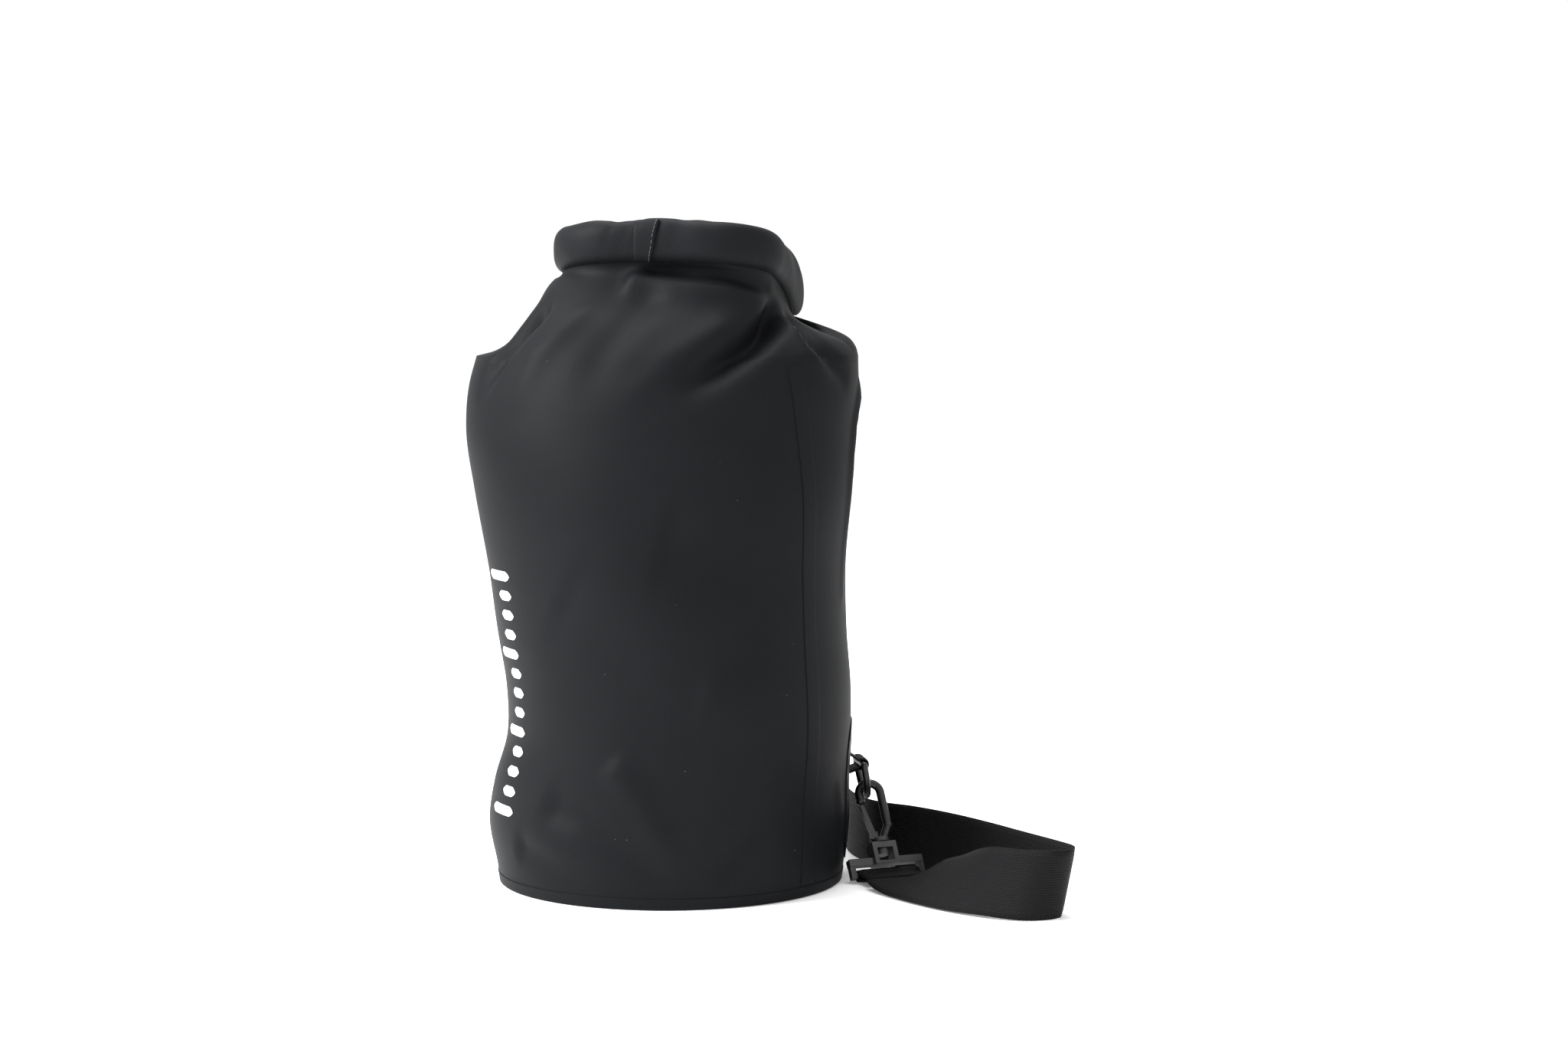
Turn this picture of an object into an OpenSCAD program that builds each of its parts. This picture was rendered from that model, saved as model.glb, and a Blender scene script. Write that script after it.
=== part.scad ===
// Roll-top dry bag for carrying a rope, with a clip-on shoulder strap.
// Origin: centre of the base on the floor. +Z up, -Y towards the front of the rolled mouth.

/* [Bag] */
// Radius of the round base
base_r = 98; // [95:0.5:100]
// Thickness of the coated fabric as drawn
wall = 1.2; // [1:0.1:1.6]
// Height of the welded rim round the base
rim_h = 7; // [5:1:9]
// Angle of the widest line of the bag, from +X
set_deg = 15; // [10:1:20]
// Angle of the welded side seam, from +X
seam_deg = -30; // [-40:1:-20]
// Width of the side seam's overlap
seam_w = 24; // [18:1:28]

/* [Rolled mouth] */
// Half of the roll's width at its middle line
roll_x = 58; // [56:1:60]
// How far in front of the origin the roll's middle line passes
roll_front = 34; // [30:1:40]
// Where the roll's two ends stop, behind the origin
roll_back = 62; // [58:1:63]
// Radius of the roll's two front corners at its middle line
roll_corner = 34; // [30:1:38]
// Thickness of the roll, front to back
roll_t = 22; // [20:1:24]
// Height of the roll
roll_h = 28; // [26:1:30]
// Height of the roll's middle at the front
roll_z = 364; // [362:1:366]
// How much lower the roll's two ends sit
roll_drop = 26; // [20:1:30]

/* [Buckle] */
// Width of the closure webbing
tab_w = 25; // [25:1:25]
// How far the plug half backs out while its arms spring in
release = 6; // [6:0.5:6]

/* [Strap] */
// Width of the shoulder webbing
strap_w = 38; // [36:1:38]
// Thickness of the shoulder webbing
strap_t = 1.6; // [1.4:0.1:1.8]
// Radius of the bars of both rings
ring_bar_r = 2; // [1.8:0.1:2.2]
// Half of the ring's width at its middle line
ring_half = 13.5; // [13:0.5:14]
// Angle of the lower ring round the bag, from +X
ring_deg = 20; // [19:1:21]

/* [Hidden] */
$fn = 48;
coat = [0.15, 0.15, 0.16];
weave = [0.07, 0.07, 0.08];
acetal = [0.1, 0.1, 0.1];
nylon = [0.19, 0.19, 0.2];

// ---------------------------------------------------------------- body
around = 64; // points round the bag
// The bag's section: height, half width across the widest line, half depth, sideways and backward shift
body_stations = [[0.4, 98, 98, 0, 0], [10, 99.5, 99, 0, 0], [36, 103, 101, -1, 0], [58, 101.5, 101.5, 0.5, 0],
  [85, 98.5, 102.5, 5, 0], [110, 98.5, 102.5, 5, 0], [145, 100, 102.5, 1, 0], [180, 102.5, 102, -2, 0],
  [225, 108, 100, -3.5, 1], [260, 111, 95.5, -5, 4.5], [285, 111, 91, -3, 7.5], [300, 109, 87, -1, 9.5]];
// Height of each ring of the shoulder and neck, and how far it has turned into the flattened mouth
neck_stations = [[308, 0.14], [317, 0.32], [325, 0.52], [333, 0.74], [341, 0.9], [349, 1]];
neck_half_t = 6; // half the thickness of the two flattened layers under the roll

function spin(p, a) = [p[0] * cos(a) - p[1] * sin(a), p[0] * sin(a) + p[1] * cos(a)];
// One column of a table of stations at height z, by straight steps between the stations
function at(table, z, k) = lookup(z, [for (s = table) [s[0], s[k]]]);
function body_point(a, z, out = 0) =
  let (hu = at(body_stations, z, 1) + out, hv = at(body_stations, z, 2) + out,
    su = at(body_stations, z, 3), sv = at(body_stations, z, 4))
  spin([su + hu * cos(a - set_deg), sv + hv * sin(a - set_deg)], set_deg);

// The roll's middle line: front straight, two round corners, two legs. s runs from -1, left, to 1, right
front_half = roll_x - roll_corner;
corner_len = PI / 2 * roll_corner;
leg_len = roll_back + roll_front - roll_corner;
half_len = front_half + corner_len + leg_len;
function mid_line(s, out = 0) =
  let (d = abs(s) * half_len, side = s < 0 ? -1 : 1,
    a = (d - front_half) / corner_len * 90,
    p = d < front_half ? [d, -roll_front - out] :
        d < front_half + corner_len ?
          [front_half + (roll_corner + out) * sin(a),
            roll_corner - roll_front - (roll_corner + out) * cos(a)] :
          [roll_x + out, roll_corner - roll_front + d - front_half - corner_len])
  [side * p[0], p[1]];
function droop(s) = pow(abs(s), 2.2);

// Outline of the flattened neck: its outer layer front half, its inner layer back half
function neck_point(i, half_t) =
  let (f = i / around, outer = f < 0.5, s = outer ? 4 * f - 1 : 3 - 4 * f, e = 1 - 0.05 * pow(s, 8))
  mid_line(s * e, (outer ? half_t : -half_t) * (1 - 0.35 * pow(s, 8)) - 4);
// Point i of a ring starts at the left end of the widest line and runs round the front first
function ring_angle(i) = 180 + 360 * i / around;
// The front panel rises straighter than the back, and the two sides are pulled in early and leave the ears
function soft(t, a) =
  pow(t, 0.95 + 0.15 * pow(max(0, -sin(a - set_deg)), 2) - 0.4 * pow(cos(a - set_deg), 6));
function shell_point(i, k, inset) =
  let (n = len(body_stations))
  k < n ? let (z = body_stations[k][0], p = body_point(ring_angle(i), z, -inset)) [p[0], p[1], z] :
  let (st = neck_stations[k - n], t = soft(st[1], ring_angle(i)),
    a = body_point(ring_angle(i), 300, -inset), b = neck_point(i, neck_half_t - inset),
    s = i < around / 2 ? 4 * i / around - 1 : 3 - 4 * i / around)
  [a[0] * (1 - t) + b[0] * t, a[1] * (1 - t) + b[1] * t, st[0] - roll_drop * droop(s) * st[1]];

// A tube of rings outer[k][i], with the matching rings inner[k][i] as its inside
module lined_tube(outer, inner) {
  n = len(outer[0]);
  r = len(outer);
  points = [for (g = [outer, inner]) for (ring = g) for (p = ring) p];
  function id(g, k, i) = g * r * n + k * n + i % n;
  faces = [for (g = [0, 1]) for (k = [0 : r - 2]) for (i = [0 : n - 1]) for (h = [0, 1])
      let (a = id(g, k, i), b = id(g, k, i + 1), c = id(g, k + 1, i + 1), d = id(g, k + 1, i),
        tri = h == 0 ? [a, c, b] : [a, d, c])
      g == 0 ? tri : [tri[0], tri[2], tri[1]],
    for (e = [[0, 0], [r - 1, 1]]) for (i = [0 : n - 1]) for (h = [0, 1])
      let (a = id(0, e[0], i), b = id(0, e[0], i + 1), c = id(1, e[0], i + 1), d = id(1, e[0], i),
        tri = h == 0 ? [a, b, c] : [a, c, d])
      e[1] == 0 ? tri : [tri[0], tri[2], tri[1]]];
  polyhedron(points, faces, 10);
}

module body_panel() {
  rows = len(body_stations) + len(neck_stations);
  color(coat)
    lined_tube([for (k = [0 : rows - 1]) [for (i = [0 : around - 1]) shell_point(i, k, 0)]],
      [for (k = [0 : rows - 1]) [for (i = [0 : around - 1]) shell_point(i, k, wall)]]);
}

weld_gap = 0.4; // the panel's wall stands this far off the welded round pieces
module base_disc() {
  r = base_r - wall - weld_gap;
  color(coat) rotate_extrude($fn = 96)
    polygon([[0, 0], [r - 2, 0], [r, 2], [r, 12], [r - 1.2, 12], [r - 1.2, 2.6], [r - 2.4, 1.4], [0, 1.4]]);
}

module base_rim_weld() {
  r = base_r + weld_gap + 1.3;
  color(coat) rotate_extrude($fn = 96)
    polygon([[r, 0.2], [r + 1.4, 0.2], [r + 1.8, 1], [r + 1.8, rim_h - 2], [r + 1.2, rim_h], [r, rim_h]]);
}

// ---------------------------------------------------------------- patches on the panel's outside
sheet_r = 104; // radius that turns a sheet's width into an angle
module sheet_on_body(deg, width, z0, z1, lift, thick, across = 8, up = 12) {
  function p(i, j, out) =
    let (z = z0 + (z1 - z0) * j / up, turn = (i / across - 0.5) * width / sheet_r * 180 / PI,
      q = body_point(deg + turn, z, out))
    [q[0], q[1], z];
  lower = [for (j = [0 : up]) [for (i = [0 : across]) p(i, j, lift)]];
  upper = [for (j = [0 : up]) [for (i = [0 : across]) p(i, j, lift + thick)]];
  closed_sheet(lower, upper);
}

// A closed solid between two grids of points, the first grid behind the second
module closed_sheet(back, front) {
  m = len(back);
  n = len(back[0]);
  points = [for (g = [back, front]) for (row = g) for (p = row) p];
  function id(g, j, i) = g * m * n + j * n + i;
  // The corners of each quad in turn round its outside: back, front, then the four edges
  quads = [
    for (j = [0 : m - 2]) for (i = [0 : n - 2])
      [id(0, j, i), id(0, j, i + 1), id(0, j + 1, i + 1), id(0, j + 1, i)],
    for (j = [0 : m - 2]) for (i = [0 : n - 2])
      [id(1, j, i), id(1, j + 1, i), id(1, j + 1, i + 1), id(1, j, i + 1)],
    for (i = [0 : n - 2]) [id(0, 0, i), id(1, 0, i), id(1, 0, i + 1), id(0, 0, i + 1)],
    for (i = [0 : n - 2]) [id(0, m - 1, i), id(0, m - 1, i + 1), id(1, m - 1, i + 1), id(1, m - 1, i)],
    for (j = [0 : m - 2]) [id(0, j, 0), id(0, j + 1, 0), id(1, j + 1, 0), id(1, j, 0)],
    for (j = [0 : m - 2]) [id(0, j, n - 1), id(1, j, n - 1), id(1, j + 1, n - 1), id(0, j + 1, n - 1)]];
  faces = [for (q = quads) for (t = [[q[0], q[1], q[2]], [q[0], q[2], q[3]]]) t];
  polyhedron(points, faces, 10);
}

module side_seam_overlap() {
  color(coat) sheet_on_body(seam_deg, seam_w, 10, 296, 0.4, 0.8, 6, 22);
}

module lower_patch() { color(coat) sheet_on_body(ring_deg, 66, 12, 92, 0.4, 0.9, 14, 12); }
module upper_patch() { color(coat) sheet_on_body(upper_deg, 50, 252, 298, 0.4, 0.9, 10, 8); }

// ---------------------------------------------------------------- rolled mouth
// A solid through closed rings of points, capped flat at both ends
module skin(rings) {
  n = len(rings[0]);
  r = len(rings);
  faces = [for (k = [0 : r - 2]) for (i = [0 : n - 1]) for (h = [0, 1])
      let (a = k * n + i, b = k * n + (i + 1) % n, c = (k + 1) * n + (i + 1) % n, d = (k + 1) * n + i)
      h == 0 ? [a, c, b] : [a, d, c],
    [for (i = [0 : n - 1]) i], [for (i = [n - 1 : -1 : 0]) (r - 1) * n + i]];
  polyhedron([for (ring = rings) for (p = ring) p], faces, 10);
}

hollow_t = 4.6; // half the thickness of the slot in the roll that holds the two stiffeners
hollow_h = 11; // half the height of that slot
square = 0.72; // the roll's section is between an ellipse, 1, and a square, 0
roll_steps = 30;
end_taper = 2.5; // how much thinner each face of the roll is at its ends
roll_sides = 20;
// The roll's section at place s, half_t by half_h, about a line that runs out from its middle line
function section(s, half_t, half_h, out = 0) =
  let (c = mid_line(s, out), n = (mid_line(s, out + 10) - c) / 10, z = roll_z - roll_drop * droop(s))
  [for (j = [0 : roll_sides - 1]) let (a = 360 * j / roll_sides,
      x = half_t * sign(cos(a)) * pow(abs(cos(a)), square),
      y = half_h * sign(sin(a)) * pow(abs(sin(a)), square))
    [c[0] + n[0] * x, c[1] + n[1] * x, z + y]];
function along_roll(reach) = [for (k = [0 : roll_steps]) reach * (2 * k / roll_steps - 1)];

module rolled_mouth() {
  color(coat)
    lined_tube([for (s = along_roll(1)) let (c = end_taper * pow(abs(s), 10))
        section(s, roll_t / 2 - c, roll_h / 2 - c / 2)],
      [for (s = along_roll(1)) section(s, hollow_t, hollow_h)]);
}

module stiffener(out) {
  skin([for (s = along_roll(0.88)) section(s, 0.7, 8.5, out)]);
}
module front_stiffener() { color(nylon) stiffener(1.8); }
module rear_stiffener() { color(nylon) stiffener(-1.8); }

// Lapped joint of the hem at the middle of the roll's front
module mouth_hem_joint() {
  ring = [for (a = [-62 : 12.4 : 62]) a];
  color(coat) closed_sheet(
    [for (x = [-9, -3, 3]) [for (a = ring) hem_point(x, a, 0.3)]],
    [for (x = [-9, -3, 3]) [for (a = ring) hem_point(x, a, 1)]]);
}
function hem_point(x, a, out) =
  let (hx = roll_t / 2 + out, hy = roll_h / 2 + out, z = roll_z - roll_drop * droop(x / half_len))
  [x, -roll_front - hx * pow(abs(cos(a)), square), z + hy * sign(sin(a)) * pow(abs(sin(a)), square)];

// ---------------------------------------------------------------- closure tabs and buckle
buckle_at = [0, 72, roll_z - roll_drop]; // the buckle's mouth, where its halves meet
bar_r = 2;
socket_bar_x = -33;
plug_bar_x = 15;
run = 0.3; // clearance round a bar in its webbing loop
layer = 1.6; // thickness of the closure webbing
loop_r = bar_r + run + layer;
// A tab from above: a tongue in the roll's end, two layers to the loop, and the loop's slot of length play
module tab(bar_x, play) {
  elbow = [bar_x + play + 8, buckle_at[1]];
  root = [roll_x, roll_back + layer + 0.1];
  lean = atan2(elbow[1] - root[1], elbow[0] - root[0]);
  translate([0, 0, buckle_at[2] - tab_w / 2]) linear_extrude(tab_w) difference() {
    union() {
      translate(root) rotate(lean) translate([0, -layer]) square([norm(elbow - root), 2 * layer]);
      translate(elbow) circle(layer);
      translate([bar_x, elbow[1] - layer]) square([play + 8, 2 * layer]);
      translate(root) circle(layer);
      slot_outline(bar_x, elbow[1], play, loop_r);
    }
    slot_outline(bar_x, elbow[1], play, bar_r + run);
  }
  translate([roll_x - layer, roll_back - 7, buckle_at[2] - 3.5]) cube([2 * layer, 7.6, 11]);
}
module slot_outline(x, y, play, r) {
  translate([x, y]) circle(r);
  if (play > 0) {
    translate([x + play, y]) circle(r);
    translate([x, y - r]) square([play, 2 * r]);
  }
}
module right_closure_tab() { color(weave) tab(buckle_at[0] + plug_bar_x, release + 1); }
module left_closure_tab() { color(weave) mirror([1, 0, 0]) tab(buckle_at[0] - socket_bar_x, 0); }

buckle_half_w = 16;
buckle_half_t = 4.8;
cavity_half_w = 13.4;
cavity_half_t = 2.7;
rail_in = tab_w / 2 + 0.6; // the side rails stand outside the webbing
module web_bar(x) {
  translate([x, 0, -buckle_half_w + 1]) cylinder(r = bar_r, h = 2 * buckle_half_w - 2);
}
module rails(x0, x1) {
  for (side = [-1, 1])
    translate([x0, -2.2, side < 0 ? -buckle_half_w : rail_in]) cube([x1 - x0, 4.4, buckle_half_w - rail_in]);
}
module buckle_socket() {
  color(acetal) translate(buckle_at) {
    difference() {
      translate([-27, -buckle_half_t, -buckle_half_w]) cube([27, 2 * buckle_half_t, 2 * buckle_half_w]);
      translate([-25, -cavity_half_t, -cavity_half_w]) cube([26, 2 * cavity_half_t, 2 * cavity_half_w]);
      for (side = [-1, 1])
        translate([-22.8, -cavity_half_t, side < 0 ? -buckle_half_w - 1 : cavity_half_w - 1])
        cube([10.8, 2 * cavity_half_t, buckle_half_w - cavity_half_w + 2]);
    }
    rails(socket_bar_x - 2, -27);
    web_bar(socket_bar_x);
  }
}
module buckle_plug() {
  color(acetal) translate(buckle_at) {
    translate([0.4, -buckle_half_t, -buckle_half_w]) cube([4, 2 * buckle_half_t, 2 * buckle_half_w]);
    translate([-18, -1.8, -2]) cube([18.4, 3.6, 4]);
    rails(4.4, plug_bar_x + 2);
    web_bar(plug_bar_x);
  }
}
arm_deg = 9;
arm_root = [-1, 9.6]; // the arm turns about its rounded root, just clear of the plug's plate
arm_root_r = 1.2;
arm_outline = [[-0.6, 8.7], [-0.6, 10.5], [-12.4, 12.6], [-16.2, 15.2], [-20.4, 15.2], [-22.4, 13], [-22.6, 11.4],
  [-19, 10.6], [-9, 9.4]];
// A sprung arm from the buckle's flat side: its catch leans back, so that it draws in as the plug backs out
module buckle_arm() {
  color(acetal) translate([0, 2.3, 0]) rotate([90, 0, 0]) linear_extrude(4.6) union() {
    translate(arm_root) circle(arm_root_r);
    polygon(arm_outline);
  }
}
module buckle_arm_upper() { translate(buckle_at) buckle_arm(); }
module buckle_arm_lower() { translate(buckle_at) mirror([0, 0, 1]) buckle_arm(); }

// ---------------------------------------------------------------- rings on their webbing loops
ring_leg = 6; // length of a ring's straight sides
lower_ring_lean = 10;
lower_ring_turn = 1.4;
upper_ring_lean = 26;
upper_deg = 80; // angle of the upper ring round the bag
lower_ring_at = [110.6, 64];
upper_ring_at = [106, 284];
loop_w = 2 * ring_half - 6;
module at_ring(deg, place, lean) {
  rotate([0, 0, deg]) translate([place[0], 0, place[1]]) rotate([0, -lean, 0]) children();
}
module ring() {
  bar = ring_bar_r;
  color(acetal) {
    translate([0, ring_half, 0]) rotate([90, 0, 0]) cylinder(r = bar, h = 2 * ring_half);
    for (side = [-1, 1]) translate([0, side * ring_half, 0]) {
      sphere(r = bar);
      translate([0, 0, -ring_leg]) cylinder(r = bar, h = ring_leg);
    }
    translate([0, 0, -ring_leg]) rotate([0, 90, 0]) intersection() {
      rotate_extrude() translate([ring_half, 0]) circle(bar);
      translate([0, -50, -50]) cube(100);
    }
  }
}
module lower_ring() { at_ring(ring_deg + lower_ring_turn, lower_ring_at, lower_ring_lean) ring(); }
module upper_ring() { at_ring(upper_deg, upper_ring_at, upper_ring_lean) ring(); }

// Webbing from the patch round the ring's bar and back: seen from the side it is a drop
module ring_loop(deg, place, up, down, gap) {
  back = norm(body_point(deg, place[1], 1.4)) - place[0] + gap;
  out = ring_bar_r + run + layer;
  color(weave) at_ring(deg, place, 0) rotate([90, 0, 0]) translate([0, 0, -loop_w / 2])
    linear_extrude(loop_w) difference() {
      union() {
        circle(out);
        polygon([[back, up], [back, down], [-1, -out], [1, 0], [-1, out]]);
      }
      circle(ring_bar_r + run);
    }
}
module lower_ring_loop() { ring_loop(ring_deg + lower_ring_turn, lower_ring_at, 8, -6, 0.5); }
module upper_ring_loop() { ring_loop(upper_deg, upper_ring_at, 9, -5, 2); }

// ---------------------------------------------------------------- snap hooks
hook_r = 2.5;
bow_r = 6.3;
bow_z = 30.7; // the bow's centre above the swivel's top face
bar_z = -18.5; // the webbing bar below it
pin_r = 2.4;
gate_x = -3.2;
gate_z = 4.8;
gate_pin_r = 0.8;
gate_len = 19.1;
module limb(p, q) {
  d = q - p;
  translate(p) rotate([0, atan2(norm([d[0], d[1]]), d[2]), atan2(d[1], d[0])])
    cylinder(r = hook_r, h = norm(d));
}
// The elbow and the nose are a little fuller than the limbs
module knuckle(p) {
  translate(p) sphere(r = hook_r + 0.15);
}
module hook() {
  color(acetal) {
    translate([0, 0, -4]) cylinder(r = pin_r, h = 5);
    translate([0, 0, -7]) cylinder(r = 3.9, h = 3);
    translate([0, 0, 0.3]) cylinder(r = 5.5, h = 2.4);
    limb([1.5, 0, 1.5], [bow_r, 0, 10]);
    knuckle([bow_r, 0, 10]);
    limb([bow_r, 0, 10], [bow_r, 0, bow_z]);
    limb([-bow_r, 0, 27], [-bow_r, 0, bow_z]);
    knuckle([-bow_r, 0, 27]);
    for (side = [-1, 1]) translate([gate_x - 1.6, side * 3.05 - 0.65, 2]) cube([3.4, 1.3, gate_z - 0.4]);
    translate([gate_x, 3.5, gate_z]) rotate([90, 0, 0]) cylinder(r = gate_pin_r, h = 7);
    translate([0, 0, bow_z]) rotate([90, 0, 0]) intersection() {
      rotate_extrude() translate([bow_r, 0]) circle(hook_r);
      translate([-50, 0, -50]) cube(100);
    }
  }
}
module hook_gate() {
  color(acetal) translate([gate_x, 2.1, gate_z]) rotate([90, 0, 0]) linear_extrude(4.2) difference() {
    union() {
      circle(1.5);
      polygon([[-1.5, 0], [1.5, 0], [-2.4, gate_len], [-4.4, gate_len]]);
    }
    circle(gate_pin_r + 0.05);
  }
}
module swivel() {
  color(acetal) difference() {
    union() {
      translate([-7.5, -4.5, -13]) cube([15, 9, 13]);
      translate([-23, -2.4, -13]) cube([46, 4.8, 4.2]);
      for (side = [-1, 1]) translate([side * 21.4 - 1.6, -2, bar_z - 1.8]) cube([3.2, 4, 11]);
      translate([-22, 0, bar_z]) rotate([0, 90, 0]) cylinder(r = bar_r - 0.1, h = 44);
    }
    translate([-4.9, -5, -11.4]) cube([9.8, 10, 7.8]);
    translate([0, 0, -4]) cylinder(r = pin_r + 0.08, h = 5);
  }
}
// Where each hook stands: the lower one leans out over the floor, the upper one hangs from its ring
lower_bow = [109.7, 34.9, 46.6];
lower_lean = 30;
lower_bar_deg = 36;
lower_hook_turn = -12;
upper_bow_z = 265;
upper_bow_r = 114.4;
module at_lower() {
  translate(lower_bow) rotate([-lower_lean, 0, lower_bar_deg]) translate([0, 0, -bow_z]) children();
}
module at_upper() {
  rotate([0, 0, upper_deg]) translate([upper_bow_r, 0, upper_bow_z - bow_z]) children();
}
module lower_hook() { at_lower() rotate([0, 0, lower_hook_turn]) hook(); }
module lower_hook_gate() { at_lower() rotate([0, 0, lower_hook_turn]) hook_gate(); }
module lower_swivel() { at_lower() swivel(); }
module upper_hook() { at_upper() rotate([0, 0, 180]) hook(); }
module upper_hook_gate() { at_upper() rotate([0, 0, 180]) hook_gate(); }
module upper_swivel() { at_upper() rotate([0, 0, 90]) swivel(); }

// ---------------------------------------------------------------- strap
strap_run = 0.3;
strap_loop = bar_r - 0.1 + strap_run + strap_t;
lower_end_len = 14;
module strap_loop_profile() {
  difference() {
    union() {
      circle(strap_loop);
      children();
    }
    circle(strap_loop - strap_t);
  }
}
module strap_lower_end() {
  color(weave) at_lower() translate([0, 0, bar_z]) rotate([90, 0, 90]) translate([0, 0, -strap_w / 2])
    linear_extrude(strap_w) strap_loop_profile() rotate(180 + lower_lean)
      translate([0, -strap_t - 0.1]) square([lower_end_len, 2 * strap_t + 0.2]);
}
upper_end_len = 9;
layer_r = strap_loop - strap_t / 2; // how far each hanging layer is from the bar's middle
module strap_upper_end() {
  color(weave) at_upper() rotate([0, 0, 90]) translate([0, 0, bar_z]) rotate([90, 0, 90])
    translate([0, 0, -strap_w / 2]) linear_extrude(strap_w) strap_loop_profile()
      for (side = [-1, 1])
        translate([side * layer_r - strap_t / 2, -upper_end_len]) square([strap_t, upper_end_len]);
}

// The strap's route from the lower hook: place, then the direction across the webbing.
// Here +X is the bag's widest line
hang = [cos(upper_deg - set_deg), sin(upper_deg - set_deg)];
main_r = upper_bow_r - layer_r;
hang_top = upper_bow_z - bow_z + bar_z - upper_end_len - 0.2;
function hung(r, z) = [hang[0] * r, hang[1] * r, z, hang[1], -hang[0], 0];
strap_route = [
  [128.2, -35.4, 4.8, 0.95, 0.31, 0], [132, -48, 6.6, 0.88, 0.42, 0.22], [139, -66, 10.4, 0.68, 0.58, 0.44],
  [152, -90, 14.2, 0.4, 0.68, 0.61], [169, -116, 19, 0.15, 0.42, 0.89], [186, -130, 19.4, 0.05, 0.15, 0.98],
  [201, -132, 19.4, 0.12, 0, 0.99], [211, -127, 19.4, 0.18, 0, 0.98], [214, -118, 19.4, 0.18, 0, 0.98],
  [211, -107, 19.4, 0.1, 0, 1], [196, -76, 19.4, 0, 0, 1], [178, -42, 19.4, 0, 0, 1], [159.5, -12, 19.4, 0, 0, 1],
  [141, 11, 19.4, 0, 0, 1], [122, 28, 19.4, 0, 0, 1], [112, 48, 19.4, 0, 0, 1], [107, 74, 19.4, 0, 0, 1],
  [107, 102, 19.4, 0, 0, 1], [108, 130, 19.4, 0, 0, 1], [105, 154, 19.4, 0, 0, 1], [96, 170, 19.4, 0, 0, 1],
  [84, 175, 19.2, 0.02, -0.17, 0.98], [73, 168, 17.4, 0.37, -0.34, 0.87], [66, 155, 11.9, 0.75, -0.34, 0.57],
  [61, 141, 6, 0.95, -0.23, 0.21], hung(139, 3.2), hung(128, 6.5), hung(118, 20), hung(112.5, 40),
  hung(main_r + 0.4, 66), hung(main_r, 96), hung(main_r, hang_top)];
steps = 3; // rings between one point of the route and the next
// A smooth curve from b to c, with a and d as the points before and after
function curve(a, b, c, d, t) =
  (2 * b + (c - a) * t + (2 * a - 5 * b + 4 * c - d) * pow(t, 2) + (3 * b - a - 3 * c + d) * pow(t, 3)) / 2;
function unit(v) = v / norm(v);
last = len(strap_route) - 1;
function on_route(x) = let (i = min(floor(x), last - 1))
  curve(strap_route[max(i - 1, 0)], strap_route[i], strap_route[i + 1], strap_route[min(i + 2, last)], x - i);
function first3(p, k = 0) = [p[k], p[k + 1], p[k + 2]];
function strap_ring(x) =
  let (p = on_route(x), t = first3(on_route(min(x + 0.05, last)) - on_route(max(x - 0.05, 0))),
    w0 = first3(p, 3), w = unit(w0 - (w0 * unit(t)) * unit(t)), n = unit(cross(t, w)))
  [for (q = [[-1, -1], [1, -1], [1, 1], [-1, 1]])
    let (c = first3(p) + w * strap_w / 2 * q[0] + n * strap_t / 2 * q[1],
      s = spin([c[0], c[1]], set_deg)) [s[0], s[1], c[2]]];
module strap_long_run() {
  color(weave) skin([for (k = [0 : last * steps]) strap_ring(k / steps)]);
}

slider_z = 130;
slider_play = 18;
module hung_strip(r, z0, z1) {
  rotate([0, 0, upper_deg]) translate([r - strap_t / 2, -strap_w / 2, z0]) cube([strap_t, strap_w, z1 - z0]);
}
return_low = slider_z + slider_play + 17; // the return layer starts above the slider's highest place
module strap_return() { color(weave) hung_strip(upper_bow_r + layer_r, return_low, hang_top); }
slider_bar = 1.7;
slider_top_r = main_r + strap_t / 2 + 0.8 + slider_bar + run + strap_t;
module across_bar(r, z, thick) {
  translate([r, strap_w / 2 + 2, z]) rotate([90, 0, 0]) cylinder(r = thick, h = strap_w + 4);
}
module strap_slider() {
  color(acetal) rotate([0, 0, upper_deg]) translate([0, 0, slider_z]) {
    across_bar(slider_top_r, 11, slider_bar);
    across_bar(main_r - strap_t / 2 - 0.25 - 1.5, 0, 1.5);
    across_bar(main_r + strap_t / 2 + 0.25 + slider_bar, -11, slider_bar);
    for (side = [-1, 1]) translate([main_r - 4, side * 21.3 - 1.7, -13]) cube([10.5, 3.4, 26]);
  }
}
module slider_end_loop() {
  outer = slider_bar + run + strap_t;
  color(weave) rotate([0, 0, upper_deg]) translate([slider_top_r, 0, slider_z + 11]) rotate([90, 0, 0])
    translate([0, 0, -strap_w / 2]) linear_extrude(strap_w) difference() {
      union() {
        circle(outer);
        translate([outer - strap_t, 0]) square([strap_t, 40]);
      }
      circle(slider_bar + run);
    }
}

body_panel();
base_disc();
base_rim_weld();
side_seam_overlap();
rolled_mouth();
mouth_hem_joint();
front_stiffener();
rear_stiffener();
left_closure_tab();
right_closure_tab();
buckle_socket();
buckle_plug();
buckle_arm_upper();
buckle_arm_lower();
lower_patch();
lower_ring_loop();
lower_ring();
upper_patch();
upper_ring_loop();
upper_ring();
lower_hook();
lower_hook_gate();
lower_swivel();
upper_hook();
upper_hook_gate();
upper_swivel();
strap_long_run();
strap_lower_end();
strap_upper_end();
strap_return();
strap_slider();
slider_end_loop();
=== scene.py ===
# %% [markdown]
# A roll-top dry bag for a rope, built over the CAD model of the same part.
# The CAD holds the true sizes and the moving plastic; this file gives the fabric, the webbing
# and every finish. Sizes are in millimetres here and are turned to metres once, in the mesh helpers.

from math import atan2, copysign, cos, exp, pi, radians, sin, sqrt

import bpy
import numpy as np
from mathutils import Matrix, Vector
from mathutils.bvhtree import BVHTree


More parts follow.
